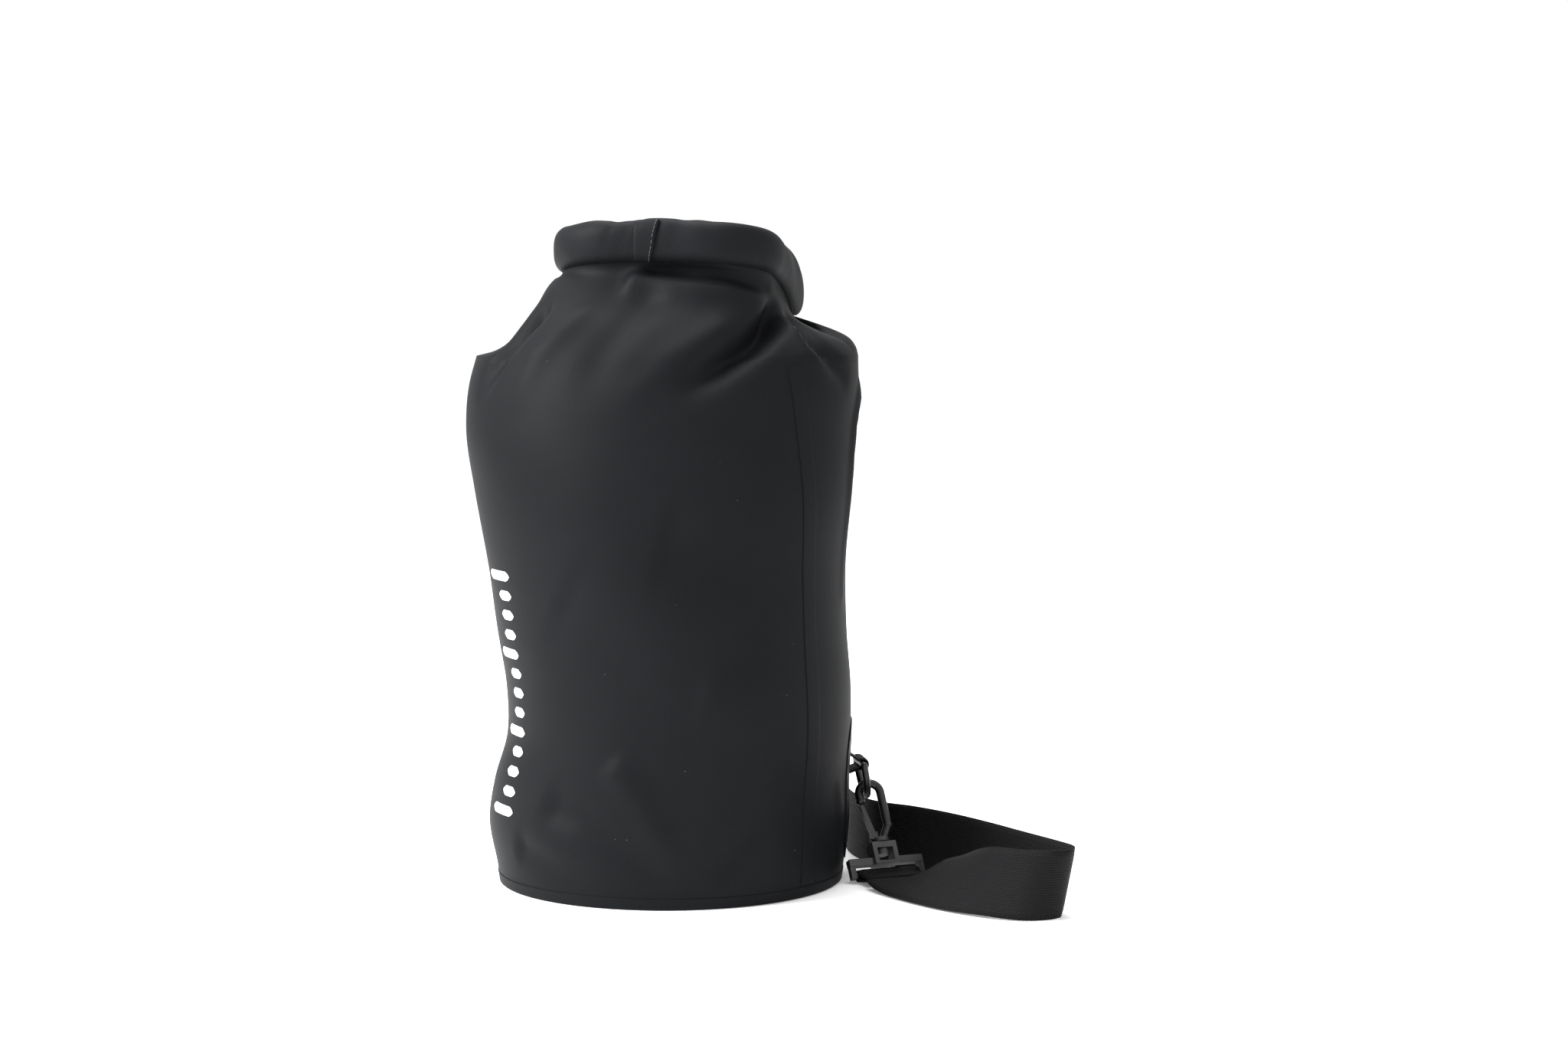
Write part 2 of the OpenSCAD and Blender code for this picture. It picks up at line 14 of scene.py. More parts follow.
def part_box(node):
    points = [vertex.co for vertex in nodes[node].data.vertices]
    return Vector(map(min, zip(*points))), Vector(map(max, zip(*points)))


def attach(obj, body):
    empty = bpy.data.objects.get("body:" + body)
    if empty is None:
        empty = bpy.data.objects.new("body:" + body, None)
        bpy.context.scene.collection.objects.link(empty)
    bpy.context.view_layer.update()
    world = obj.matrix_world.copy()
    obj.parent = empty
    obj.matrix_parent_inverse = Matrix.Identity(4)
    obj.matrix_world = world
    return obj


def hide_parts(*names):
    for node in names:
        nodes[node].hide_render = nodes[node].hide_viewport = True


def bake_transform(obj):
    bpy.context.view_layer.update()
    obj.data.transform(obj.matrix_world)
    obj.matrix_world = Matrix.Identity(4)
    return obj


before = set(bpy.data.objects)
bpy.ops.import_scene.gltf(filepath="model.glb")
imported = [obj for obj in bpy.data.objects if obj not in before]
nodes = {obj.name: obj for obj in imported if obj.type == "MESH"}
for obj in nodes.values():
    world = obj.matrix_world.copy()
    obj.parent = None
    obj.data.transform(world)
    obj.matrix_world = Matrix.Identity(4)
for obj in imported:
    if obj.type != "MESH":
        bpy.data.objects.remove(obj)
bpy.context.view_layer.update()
MM = 0.001
print("CAD nodes", len(nodes))

# %% [markdown]
# Every finish below is a node tree. Three small helpers keep them short: one turns a web colour
# into Blender's linear colour, one adds a node with its settings and links, and one starts a
# named material and hands back its shader.

# %% Helpers for finishes
def linear(code):
    """An sRGB hex colour, such as 2b2c2f, as linear RGBA."""
    channels = [int(code[i:i + 2], 16) / 255 for i in (0, 2, 4)]
    return tuple(c / 12.92 if c <= 0.04045 else ((c + 0.055) / 1.055) ** 2.4 for c in channels) + (1.0,)


def add(tree, kind, inputs=None, **settings):
    """Adds a node. Each input is a value, or a socket to link from."""
    made = tree.nodes.new("ShaderNode" + kind)
    for name, value in settings.items():
        setattr(made, name, value)
    for name, value in (inputs or {}).items():
        if isinstance(value, bpy.types.NodeSocket):
            tree.links.new(value, made.inputs[name])
        else:
            made.inputs[name].default_value = value
    return made


def start_material(name, constants):
    """A new material with a Principled shader and its constant inputs: (material, tree, shader)."""
    material = bpy.data.materials.new(name)
    material.use_nodes = True
    tree = material.node_tree
    tree.nodes.clear()
    shader = add(tree, "BsdfPrincipled", constants)
    output = add(tree, "OutputMaterial")
    tree.links.new(shader.outputs["BSDF"], output.inputs["Surface"])
    return material, tree, shader


def link(tree, start, end):
    tree.links.new(start, end)


# %% [markdown]
# The bag is polyester cloth coated with a matt plastic film, the kind that is welded into dry
# bags. The film hides the yarns nearly completely, so what shows is a soft sheen, a faint
# crossed line where slub yarns press through, a fine grain and a few specks of dust.
# The yarns are about 0.35 mm apart; they are drawn 0.9 mm apart, so that they show at all.

# %% Coated polyester
SLUB_PITCH, SLUB_LENGTH, GRAIN, CLOUD = 0.9, 26, 0.32, 70
DUST_CELL, DUST_RADIUS, DUST_SHARE, DUST_TONE = 9, 0.022, 0.3, 0.55


def coated_cloth(name, light, dark, space, turn=0.0, slub=0.35, rough=0.56):
    """Coated cloth. space is "UV" for a piece with its cut's coordinates, else "Object"."""
    material, tree, shader = start_material(name, {"IOR": 1.5, "Specular IOR Level": 0.06})
    place = add(tree, "TexCoord")
    cut = add(tree, "Mapping", {"Vector": place.outputs[space], "Scale": (1 / MM,) * 3,
                                          "Rotation": (0, 0, turn)})
    threads = []
    for across, along in ((SLUB_PITCH, SLUB_LENGTH), (SLUB_LENGTH, SLUB_PITCH)):
        stretched = add(tree, "Mapping", {"Vector": cut.outputs["Vector"],
                                                    "Scale": (1 / across, 1 / along, 1 / along)})
        threads.append(add(tree, "TexNoise", {"Vector": stretched.outputs["Vector"],
                                                        "Scale": 1.0, "Detail": 1.0}))
    crossed = add(tree, "Math", {0: threads[0].outputs["Fac"],
                                            1: threads[1].outputs["Fac"]}, operation="ADD")
    grain = add(tree, "TexNoise", {"Vector": cut.outputs["Vector"], "Scale": 1 / GRAIN,
                                             "Detail": 3.0, "Roughness": 0.7})
    cloudy = add(tree, "TexNoise", {"Vector": cut.outputs["Vector"], "Scale": 1 / CLOUD,
                                              "Detail": 3.0})
    soft = add(tree, "MapRange", {"Value": cloudy.outputs["Fac"], "From Min": 0.3,
                                            "From Max": 0.7})
    base = add(tree, "Mix", {"Factor": soft.outputs["Result"], 6: linear(dark),
                                       7: linear(light)}, data_type="RGBA")
    # dust: three cells in ten hold a speck 0.4 mm across; its radius is a share of the cell
    cells = add(tree, "TexVoronoi", {"Vector": cut.outputs["Vector"], "Scale": 1 / DUST_CELL})
    near = add(tree, "Math", {0: cells.outputs["Distance"], 1: DUST_RADIUS},
               operation="LESS_THAN")
    chosen = add(tree, "SeparateColor", {"Color": cells.outputs["Color"]})
    rare = add(tree, "Math", {0: chosen.outputs["Red"], 1: DUST_SHARE},
               operation="LESS_THAN")
    speck = add(tree, "Math", {0: near.outputs[0], 1: rare.outputs[0]},
                operation="MULTIPLY")
    faint = add(tree, "Math", {0: speck.outputs[0], 1: DUST_TONE},
                operation="MULTIPLY")
    dusty = add(tree, "Mix", {"Factor": faint.outputs[0], 6: base.outputs[2],
                                        7: linear("8c8d90")}, data_type="RGBA")
    link(tree, dusty.outputs[2], shader.inputs["Base Color"])
    sheen = add(tree, "MapRange", {"Value": grain.outputs["Fac"], "To Min": rough - 0.06,
                                             "To Max": rough + 0.08})
    link(tree, sheen.outputs["Result"], shader.inputs["Roughness"])
    fine = add(tree, "Bump", {"Height": grain.outputs["Fac"], "Strength": 0.25,
                                        "Distance": 0.05 * MM})
    woven = add(tree, "Bump", {"Height": crossed.outputs[0], "Strength": slub,
                                         "Distance": 0.12 * MM, "Normal": fine.outputs["Normal"]})
    link(tree, woven.outputs["Normal"], shader.inputs["Normal"])
    return material


COAT_LIGHT, COAT_DARK = "121315", "0f1012"
cloth_finish = coated_cloth("coated_polyester_matt", COAT_LIGHT, COAT_DARK, "UV")
roll_finish = coated_cloth("coated_polyester_rolled", "151618", "121315", "UV", turn=0.7, slub=0.8)
disc_finish = coated_cloth("coated_polyester_welded", COAT_LIGHT, COAT_DARK, "Object")
print("cloth finishes", cloth_finish.name, roll_finish.name, disc_finish.name)

# %% [markdown]
# The straps are polypropylene webbing, woven in a heavy plain weave: the warp runs along the
# strap in ribs about 1.3 mm apart, and the weft shows as a step every 1.3 mm. Neighbouring ribs
# are half a step out of phase, like bricks. The yarn itself is slightly glossy plastic, nearly black.

# %% Polypropylene webbing
RIB = 1.35


def webbing(name, code, rib=RIB, depth=0.35):
    material, tree, shader = start_material(name, {"IOR": 1.49, "Specular IOR Level": 0.12})
    place = add(tree, "TexCoord")
    cut = add(tree, "Mapping", {"Vector": place.outputs["UV"],
                                          "Scale": (1 / (rib * MM),) * 3})
    axes = add(tree, "SeparateXYZ", {"Vector": cut.outputs["Vector"]})
    column = add(tree, "Math", {0: axes.outputs["X"]}, operation="FLOOR")
    shift = add(tree, "Math", {0: column.outputs[0], 1: 0.5}, operation="MULTIPLY")
    step = add(tree, "Math", {0: axes.outputs["Y"], 1: shift.outputs[0]}, operation="ADD")
    waves = []
    for value in (axes.outputs["X"], step.outputs[0]):
        angle = add(tree, "Math", {0: value, 1: pi}, operation="MULTIPLY")
        wave = add(tree, "Math", {0: angle.outputs[0]}, operation="SINE")
        waves.append(add(tree, "Math", {0: wave.outputs[0]}, operation="ABSOLUTE"))
    knuckles = add(tree, "Math", {0: waves[0].outputs[0], 1: waves[1].outputs[0]},
                   operation="MULTIPLY")
    fibres = add(tree, "Mapping", {"Vector": cut.outputs["Vector"], "Scale": (9, 1.2, 1)})
    hair = add(tree, "TexNoise", {"Vector": fibres.outputs["Vector"],
                                            "Scale": 1.0, "Detail": 2.0})
    height = add(tree, "Math", {0: hair.outputs["Fac"], 1: 0.25, 2: knuckles.outputs[0]},
                 operation="MULTIPLY_ADD")
    # the hollows between the knuckles are painted near black: painted shade in the weave
    tone = add(tree, "Mix", {"Factor": knuckles.outputs[0], 6: linear("020203"),
                                       7: linear(code)}, data_type="RGBA")
    link(tree, tone.outputs[2], shader.inputs["Base Color"])
    gloss = add(tree, "MapRange", {"Value": hair.outputs["Fac"],
                                             "To Min": 0.45, "To Max": 0.7})
    link(tree, gloss.outputs["Result"], shader.inputs["Roughness"])
    bump = add(tree, "Bump", {"Height": height.outputs[0], "Strength": 0.9,
                                        "Distance": depth * MM})
    link(tree, bump.outputs["Normal"], shader.inputs["Normal"])
    return material


strap_finish = webbing("polypropylene_webbing", "0b0b0d")
tab_finish = webbing("polypropylene_webbing_narrow", "0c0c0e", rib=1.1, depth=0.25)
print("webbing finishes", strap_finish.name, tab_finish.name)

# %% [markdown]
# Hooks, rings, slider and buckle are moulded acetal, a hard self-coloured plastic. The mould is
# lightly spark-eroded, which leaves a fine matt grain, and sharp edges are painted lighter: part wear, part
# painted highlight.

# %% Moulded acetal, and the small finishes
FLOW = 14  # how far apart the melt's glossier and duller patches lie


def moulded(name, code, rough, grain=0.22, wear_and_highlight="3a3a3c"):
    material, tree, shader = start_material(name, {"IOR": 1.48})
    place = add(tree, "TexCoord")
    cut = add(tree, "Mapping", {"Vector": place.outputs["Object"], "Scale": (1 / MM,) * 3})
    pits = add(tree, "TexNoise", {"Vector": cut.outputs["Vector"],
                                            "Scale": 1 / grain, "Detail": 2.0})
    flow = add(tree, "TexNoise", {"Vector": cut.outputs["Vector"],
                                            "Scale": 1 / FLOW, "Detail": 2.0})
    shine = add(tree, "MapRange", {"Value": flow.outputs["Fac"], "From Min": 0.3,
                                             "From Max": 0.7, "To Min": rough - 0.08,
                                             "To Max": rough + 0.08})
    link(tree, shine.outputs["Result"], shader.inputs["Roughness"])
    bump = add(tree, "Bump", {"Height": pits.outputs["Fac"], "Strength": 0.35,
                                        "Distance": 0.04 * MM})
    link(tree, bump.outputs["Normal"], shader.inputs["Normal"])
    # sharp edges, found by pointiness, are painted lighter: partly handling wear, partly a painted highlight
    shape = add(tree, "NewGeometry")
    edge = add(tree, "MapRange", {"Value": shape.outputs["Pointiness"],
                                            "From Min": 0.52, "From Max": 0.62, "To Max": 0.5})
    tone = add(tree, "Mix", {"Factor": edge.outputs["Result"], 6: linear(code),
                                       7: linear(wear_and_highlight)}, data_type="RGBA")
    link(tree, tone.outputs[2], shader.inputs["Base Color"])
    return material


acetal = moulded("acetal_moulded_black", "08080a", 0.4)
strip_finish = moulded("polyethylene_strip", "2e2e30", 0.5, grain=0.5)
thread_finish = moulded("polyester_thread", "1c1c1f", 0.6, grain=0.3)
ink = moulded("screen_print_ink_white", "e4e6ea", 0.55, grain=0.6, wear_and_highlight="f2f3f5")
print("small finishes", acetal.name, thread_finish.name, ink.name)

# %% [markdown]
# Fabric pieces are grids of points: rows along one way of the cut and columns along the other.
# One helper makes a mesh from a grid and writes a UV map in metres of real cloth, so every
# weave above comes out at its true size. Another gives a grid its thickness.

# %% Mesh helpers
def span(points, axis):
    """Distance along a grid from its first row or column, measured on its middle line, in mm."""
    middle = np.take(points, points.shape[1 - axis] // 2, axis=1 - axis)
    steps = np.linalg.norm(np.diff(middle, axis=0), axis=1)
    return np.concatenate([[0], np.cumsum(steps)])


def new_object(name, vertices, faces, finish, uvs=None):
    mesh = bpy.data.meshes.new(name)
    mesh.from_pydata([tuple(v * MM) for v in vertices], [], faces)
    if uvs is not None:
        layer = mesh.uv_layers.new(name="cut")
        corner = np.array([uvs[i] for face in faces for i in face], float) * MM
        layer.data.foreach_set("uv", corner.ravel())
    mesh.shade_smooth()
    mesh.materials.append(finish)
    piece = bpy.data.objects.new(name, mesh)
    bpy.context.collection.objects.link(piece)
    return piece


def grid_faces(rows, columns, closed, offset=0, flip=False):
    faces = []
    for j in range(rows - 1):
        for i in range(columns if closed else columns - 1):
            a, b = j * columns + i, j * columns + (i + 1) % columns
            quad = [a, b, b + columns, a + columns]
            faces.append([offset + k for k in (reversed(quad) if flip else quad)])
    return faces


def normals(points, closed=False):
    """Unit normal at each grid point, from columns cross rows."""
    if closed:
        along = np.roll(points, -1, axis=1) - np.roll(points, 1, axis=1)
    else:
        along = np.gradient(points, axis=1)
    up = np.gradient(points, axis=0)
    n = np.cross(along, up)
    return n / np.maximum(np.linalg.norm(n, axis=2, keepdims=True), 1e-9)


def flat_uv(points, columns):
    u, v = span(points, 1), span(points, 0)
    return np.array([(u[i % columns], v[j]) for j in range(points.shape[0]) for i in range(columns)])


def thick_grid(name, points, thick, finish, outward=None):
    """A closed sheet of cloth: the grid is its back, and thick is how far its front stands off."""
    rows, columns = points.shape[:2]
    n = normals(points) if outward is None else outward
    front = points + n * thick
    vertices = np.concatenate([points.reshape(-1, 3), front.reshape(-1, 3)])
    total = rows * columns
    faces = grid_faces(rows, columns, False, 0, True) + grid_faces(rows, columns, False, total)
    edge = [j * columns for j in range(rows)][::-1] + list(range(1, columns))
    edge += [j * columns + columns - 1 for j in range(1, rows)]
    edge += [(rows - 1) * columns + i for i in range(columns - 2, 0, -1)]
    for a, b in zip(edge, edge[1:] + edge[:1]):
        faces.append([a, b, b + total, a + total])
    uv = flat_uv(points, columns)
    return new_object(name, vertices, faces, finish, np.concatenate([uv, uv]))


def bead_row(name, places, directions, length, radius, finish):
    """Stitches: one small rounded bar of thread at each place."""
    vertices, faces = [], []
    ring, sides = 5, 6
    for place, way in zip(places, directions):
        way = way / np.linalg.norm(way)
        side = np.cross(way, [0.3, 0.2, 0.93])
        side = side / np.linalg.norm(side)
        up = np.cross(way, side)
        first = len(vertices)
        for k in range(ring):
            t = -1 + 2 * k / (ring - 1)
            r = radius * sqrt(max(1 - t * t, 0.04))
            for m in range(sides):
                a = 2 * pi * m / sides
                spoke = side * cos(a) + up * sin(a)
                vertices.append(place + way * length / 2 * t + spoke * r)
        for k in range(ring - 1):
            for m in range(sides):
                a, b = first + k * sides + m, first + k * sides + (m + 1) % sides
                faces.append([a, b, b + sides, a + sides])
        faces.append([first + m for m in reversed(range(sides))])
        faces.append([first + (ring - 1) * sides + m for m in range(sides)])
    return new_object(name, np.array(vertices), faces, finish)


def smooth_table(table, z):
    """Each column of a table of stations at heights z, by a smooth curve through its rows."""
    table = np.array(table, float)
    x = table[:, 0]
    slopes = np.gradient(table[:, 1:], x, axis=0)
    k = np.clip(np.searchsorted(x, z, side="right") - 1, 0, len(x) - 2)
    h = x[k + 1] - x[k]
    t = np.clip((z - x[k]) / h, 0, 1)
    a, b = table[k, 1:], table[k + 1, 1:]
    t, h = t[:, None], h[:, None]
    return ((2 * t**3 - 3 * t**2 + 1) * a + (t**3 - 2 * t**2 + t) * h * slopes[k]
            + (-2 * t**3 + 3 * t**2) * b + (t**3 - t**2) * h * slopes[k + 1])


print("mesh helpers ready")

# %% [markdown]
# The bag is a tube of cloth welded to a round base. Standing half empty, it is a little wider
# than deep, and its mouth is pressed flat and rolled, which pulls the two sides into soft ears.
# The stations below are the CAD's own: height, half width, half depth, and how far it leans.

# %% The bag's form
SET_DEG = 15.0
BODY = [(0.4, 98, 98, 0, 0), (10, 99.5, 99, 0, 0), (36, 103, 101, -1, 0),
        (58, 101.5, 101.5, 0.5, 0), (85, 98.5, 102.5, 5, 0), (110, 98.5, 102.5, 5, 0),
        (145, 100, 102.5, 1, 0), (180, 102.5, 102, -2, 0), (225, 108, 100, -3.5, 1),
        (260, 111, 95.5, -5, 4.5), (285, 111, 91, -3, 7.5), (300, 109, 87, -1, 9.5)]
# how far the cloth has turned from the body's oval into the flat mouth at each height: in
# general, and in the two ears, where the left steps in low and the right late
NECK = [(300, 0), (308, 0.14), (317, 0.32), (325, 0.52), (333, 0.74), (341, 0.9), (349, 1), (360, 1)]
LEFT_EAR = [(300, 0), (304, 0.2), (308, 0.42), (317, 0.66), (325, 0.76), (333, 0.84), (341, 0.92),
            (349, 1), (360, 1)]
RIGHT_EAR = [(300, 0), (308, 0.03), (317, 0.14), (325, 0.4), (333, 0.8), (341, 0.94), (349, 1),
             (360, 1)]
NECK_HALF, NECK_INSET = 6.0, 4
ROLL_X, ROLL_FRONT, ROLL_BACK, ROLL_CORNER = 58.0, 34.0, 62.0, 34.0
ROLL_T, ROLL_H, ROLL_Z, ROLL_DROP = 22.0, 28.0, 364.0, 26.0
FRONT_HALF = ROLL_X - ROLL_CORNER
CORNER_LEN = pi / 2 * ROLL_CORNER
HALF_LEN = FRONT_HALF + CORNER_LEN + ROLL_BACK + ROLL_FRONT - ROLL_CORNER


def spin(x, y, deg):
    c, s = cos(radians(deg)), sin(radians(deg))
    return x * c - y * s, x * s + y * c


def mid_line(s, out=0.0):
    """A point of the roll's middle line, out mm outside it. s runs from -1 to 1."""
    d, side = abs(s) * HALF_LEN, -1 if s < 0 else 1
    if d < FRONT_HALF:
        return side * d, -ROLL_FRONT - out
    if d < FRONT_HALF + CORNER_LEN:
        a = (d - FRONT_HALF) / CORNER_LEN * pi / 2
        r = ROLL_CORNER + out
        return side * (FRONT_HALF + r * sin(a)), ROLL_CORNER - ROLL_FRONT - r * cos(a)
    return side * (ROLL_X + out), ROLL_CORNER - ROLL_FRONT + d - FRONT_HALF - CORNER_LEN


def droop(s):
    return abs(s) ** 2.2


def body_point(deg, station):
    hu, hv, su, sv = station
    a = radians(deg - SET_DEG)
    return spin(su + hu * cos(a), sv + hv * sin(a), SET_DEG)


def neck_point(f):
    """The flattened mouth: its front layer for f under a half, then its back layer."""
    front = f < 0.5
    s = 4 * f - 1 if front else 3 - 4 * f
    out = (NECK_HALF if front else -NECK_HALF) * (1 - 0.35 * s**8) - NECK_INSET
    return mid_line(s * (1 - 0.05 * s**8), out)


def near(deg, centre, width):
    """1 at the centre angle, dying away smoothly on both sides."""
    return exp(-(((deg - centre + 180) % 360 - 180) / width) ** 2)


def eased(row, deg):
    """How far the neck has turned at a row and an angle: the front stands up, the ears stay out."""
    a = radians(deg - SET_DEG)
    power = 0.95 + 0.15 * max(0, -sin(a)) ** 2 + 0.4 * near(deg, 228, 20)
    left, right = near(deg, 195, 24), near(deg, 14, 30)
    t, t_left, t_right = (max(0.0, min(1.0, table[row])) for table in (turned, turned_left, turned_right))
    rest = max(0.0, 1 - left - right)
    return (rest * t**power + left * t_left + right * t_right) / (rest + left + right)


AROUND = 208
BODY_Z = np.concatenate([[0.4, 2.5, 6.5], np.linspace(11, 300, 74)])
NECK_Z = np.linspace(302.5, 360, 26)
ring_deg = np.array([180 + 360 * i / AROUND for i in range(AROUND)])
stations = smooth_table(BODY, BODY_Z)
top_station = stations[-1]
turned, turned_left, turned_right = (smooth_table(table, NECK_Z)[:, 0]
                                     for table in (NECK, LEFT_EAR, RIGHT_EAR))
panel = np.zeros((len(BODY_Z) + len(NECK_Z), AROUND, 3))
for j, z in enumerate(BODY_Z):
    for i, deg in enumerate(ring_deg):
        panel[j, i] = (*body_point(deg, stations[j]), z)
for j, z in enumerate(NECK_Z):
    for i, deg in enumerate(ring_deg):
        t = eased(j, deg)
        a, b = body_point(deg, top_station), neck_point(i / AROUND)
        s = 4 * i / AROUND - 1 if i < AROUND / 2 else 3 - 4 * i / AROUND
        panel[len(BODY_Z) + j, i] = (a[0] * (1 - t) + b[0] * t, a[1] * (1 - t) + b[1] * t,
                                     z - ROLL_DROP * droop(s) * min(1, turned[j]))
print("panel grid", panel.shape)

# %% [markdown]
# Small tension creases are better found than drawn. The cloth's true cut is a plain tube, longer
# round than the standing bag in places, so Blender's Cloth is given the tube as its rest shape
# and the standing bag as its start: it keeps its area and buckles where there is too much. The
# welded base and the rolled mouth hold it, a weak goal keeps the form, and no point moves more
# than a few millimetres.

# %% Let the cloth settle
CUT_R, FRAMES, CAP = 103.4, 26, 5.0
row_z = np.concatenate([BODY_Z, NECK_Z])
columns_len = np.concatenate([np.zeros((1, AROUND)),
                              np.cumsum(np.linalg.norm(np.diff(panel, axis=0), axis=2), axis=0)])
bag_panel = new_object("bag_panel", panel.reshape(-1, 3), grid_faces(panel.shape[0], AROUND, True),
                       cloth_finish)
bag_panel.shape_key_add(name="standing")
cut = bag_panel.shape_key_add(name="cut")
rest = np.zeros_like(panel)
for i, deg in enumerate(ring_deg):
    a = radians(deg)
    rest[:, i] = np.stack([np.full(panel.shape[0], CUT_R * cos(a)),
                           np.full(panel.shape[0], CUT_R * sin(a)), columns_len[:, i]], axis=1)
cut.data.foreach_set("co", (rest.reshape(-1, 3) * MM).ravel())
cut.value = 0
group = bag_panel.vertex_groups.new(name="held")
for j in range(panel.shape[0]):
    low = exp(-(row_z[j] / 9) ** 2)
    high = 1 / (1 + exp(-(row_z[j] - 340) / 4))
    group.add([j * AROUND + i for i in range(AROUND)], min(1.0, 0.06 + low + high), "REPLACE")
cloth = bag_panel.modifiers.new("cloth", "CLOTH")
values = {"quality": 6, "mass": 0.2, "tension_stiffness": 25, "compression_stiffness": 25,
          "shear_stiffness": 12, "bending_stiffness": 1.6, "tension_damping": 12,
          "compression_damping": 12, "shear_damping": 12, "air_damping": 4,
          "vertex_group_mass": "held", "pin_stiffness": 1.0, "rest_shape_key": cut,
          "use_pressure": True, "uniform_pressure_force": 0.25}
for key, value in values.items():
    setattr(cloth.settings, key, value)
cloth.settings.effector_weights.gravity = 0.0
cloth.collision_settings.use_collision = False
cloth.point_cache.frame_end = FRAMES
for frame_number in range(1, FRAMES + 1):
    bpy.context.scene.frame_set(frame_number)
settled = bag_panel.evaluated_get(bpy.context.evaluated_depsgraph_get())
flat = np.empty(len(settled.data.vertices) * 3)
settled.data.vertices.foreach_get("co", flat)
moved = flat.reshape(panel.shape) / MM - panel
size = np.linalg.norm(moved, axis=2, keepdims=True)
panel = panel + moved * np.minimum(1, CAP / np.maximum(size, 1e-9))
print("cloth moved, mean", round(float(size.mean()), 2), "mm, largest",
      round(float(size.max()), 2), "mm")
bpy.context.scene.frame_set(1)
bpy.data.objects.remove(bag_panel)

# %% [markdown]
# Soft cloth that was packed flat keeps folds. The deepest ones hang from the rolled mouth, where
# the cloth changes from round to flat; lower down there are shallow dents near the base.
# Each fold is a line of places on the bag (degrees round it, height), a width and a depth, and
# pushes the cloth in or out with a smooth profile that dies away at its two ends.

# %% Folds in the cloth
FOLDS = [
    ([(-95, 341), (-80, 338), (-62, 337), (-46, 332)], 6.5, 6.0),
    ([(-90, 350), (-70, 349), (-45, 344)], 4.5, -8.0),
    ([(-41, 327), (-51, 309), (-60, 297), (-66.5, 287)], 8.0, -15.0),
    ([(-36, 324), (-30.5, 304), (-22, 293)], 6.0, 4.5),
    ([(-29, 324), (-22, 306), (-10, 290)], 6.0, -8.0),
    ([(-62, 316), (-74, 300), (-84, 280)], 9.0, 2.5),
    ([(-88, 330), (-94, 306), (-97, 286)], 10.0, -2.5),
    ([(-166, 337), (-146, 342), (-124, 342)], 14.0, 11.0),
    ([(-126, 324), (-131, 309), (-139, 285)], 6.5, -9.0),
    ([(-108, 322), (-116, 302), (-121, 280)], 8.0, 2.5),
    ([(12, 288), (4, 262), (1, 230), (0, 165)], 3.6, 2.6),
    ([(13, 262), (10, 225), (8, 175)], 6.0, -3.2),
    ([(-120, 57), (-104, 50), (-88, 33), (-74, 14)], 10.0, -4.0),
    ([(-98, 82), (-86, 62), (-72, 22)], 8.0, 3.0),
    ([(-60, 12), (-54, 34), (-42, 52)], 9.0, -3.0),
    ([(-132, 30), (-118, 22), (-104, 12)], 8.0, -2.5),
    ([(-8, 62), (-6, 44), (-4, 24)], 5.0, 1.6),
    ([(-78, 200), (-60, 190), (-44, 176)], 22.0, -2.2),
    ([(-112, 172), (-96, 150), (-84, 128)], 24.0, -2.2),
    ([(-70, 120), (-52, 108), (-38, 100)], 18.0, 1.8),
    ([(60, 318), (58, 300), (52, 278)], 9.0, -6.0),
    ([(112, 322), (118, 300), (126, 274)], 9.0, -6.5),
    ([(150, 318), (158, 296), (166, 272)], 10.0, -5.0),
    ([(84, 40), (104, 30), (124, 14)], 11.0, -3.5),
    ([(150, 70), (168, 44), (182, 18)], 12.0, -3.5),
    ([(70, 200), (100, 180), (130, 172)], 22.0, -2.4),
    ([(170, 230), (190, 200), (204, 160)], 20.0, -2.2),
]
AROUND_MM = 104 * pi / 180  # a degree round the bag
FROM_MOUTH, FADE_IN = 310, 0.12  # a fold that starts above this height comes out of the mouth
grid_deg = np.tile(ring_deg, (panel.shape[0], 1))
grid_z = np.tile(row_z[:, None], (1, AROUND))


def fold_push(route, width, depth):
    """How far a fold pushes each grid point outward."""
    best = np.full(grid_deg.shape, 1e9)
    where = np.zeros(grid_deg.shape)
    for k in range(len(route) - 1):
        (da, za), (db, zb) = route[k], route[k + 1]
        px = ((grid_deg - da + 180) % 360 - 180) * AROUND_MM
        pz = grid_z - za
        dx, dz = (db - da) * AROUND_MM, zb - za
        t = np.clip((px * dx + pz * dz) / (dx * dx + dz * dz), 0, 1)
        d = np.hypot(px - t * dx, pz - t * dz)
        closer = d < best
        best = np.where(closer, d, best)
        where = np.where(closer, (k + t) / (len(route) - 1), where)
    fade = np.clip(where / FADE_IN, 0, 1) if route[0][1] < FROM_MOUTH else np.ones_like(where)
    fade = fade * (1 - 0.75 * where**2)
    return depth * fade * np.exp(-(best / width) ** 2)


push = sum(fold_push(*fold) for fold in FOLDS)
# the weld and the mouth hold the cloth: nothing moves at either, and all of it a little way off
held = np.clip((grid_z - 3) / 22, 0, 1) * np.clip((356 - grid_z) / 9, 0, 1)
out = normals(panel, closed=True)
panel = panel + out * (push * held)[..., None]
print("folds", len(FOLDS), "deepest", round(float(push.min()), 1), "mm")

# %% [markdown]
# The settled grid becomes the visible bag: a wall 0.8 mm thick on the inside of the outer face.
# The seam, the patches and the print lie on the same surface, so a ray finder is made from it.

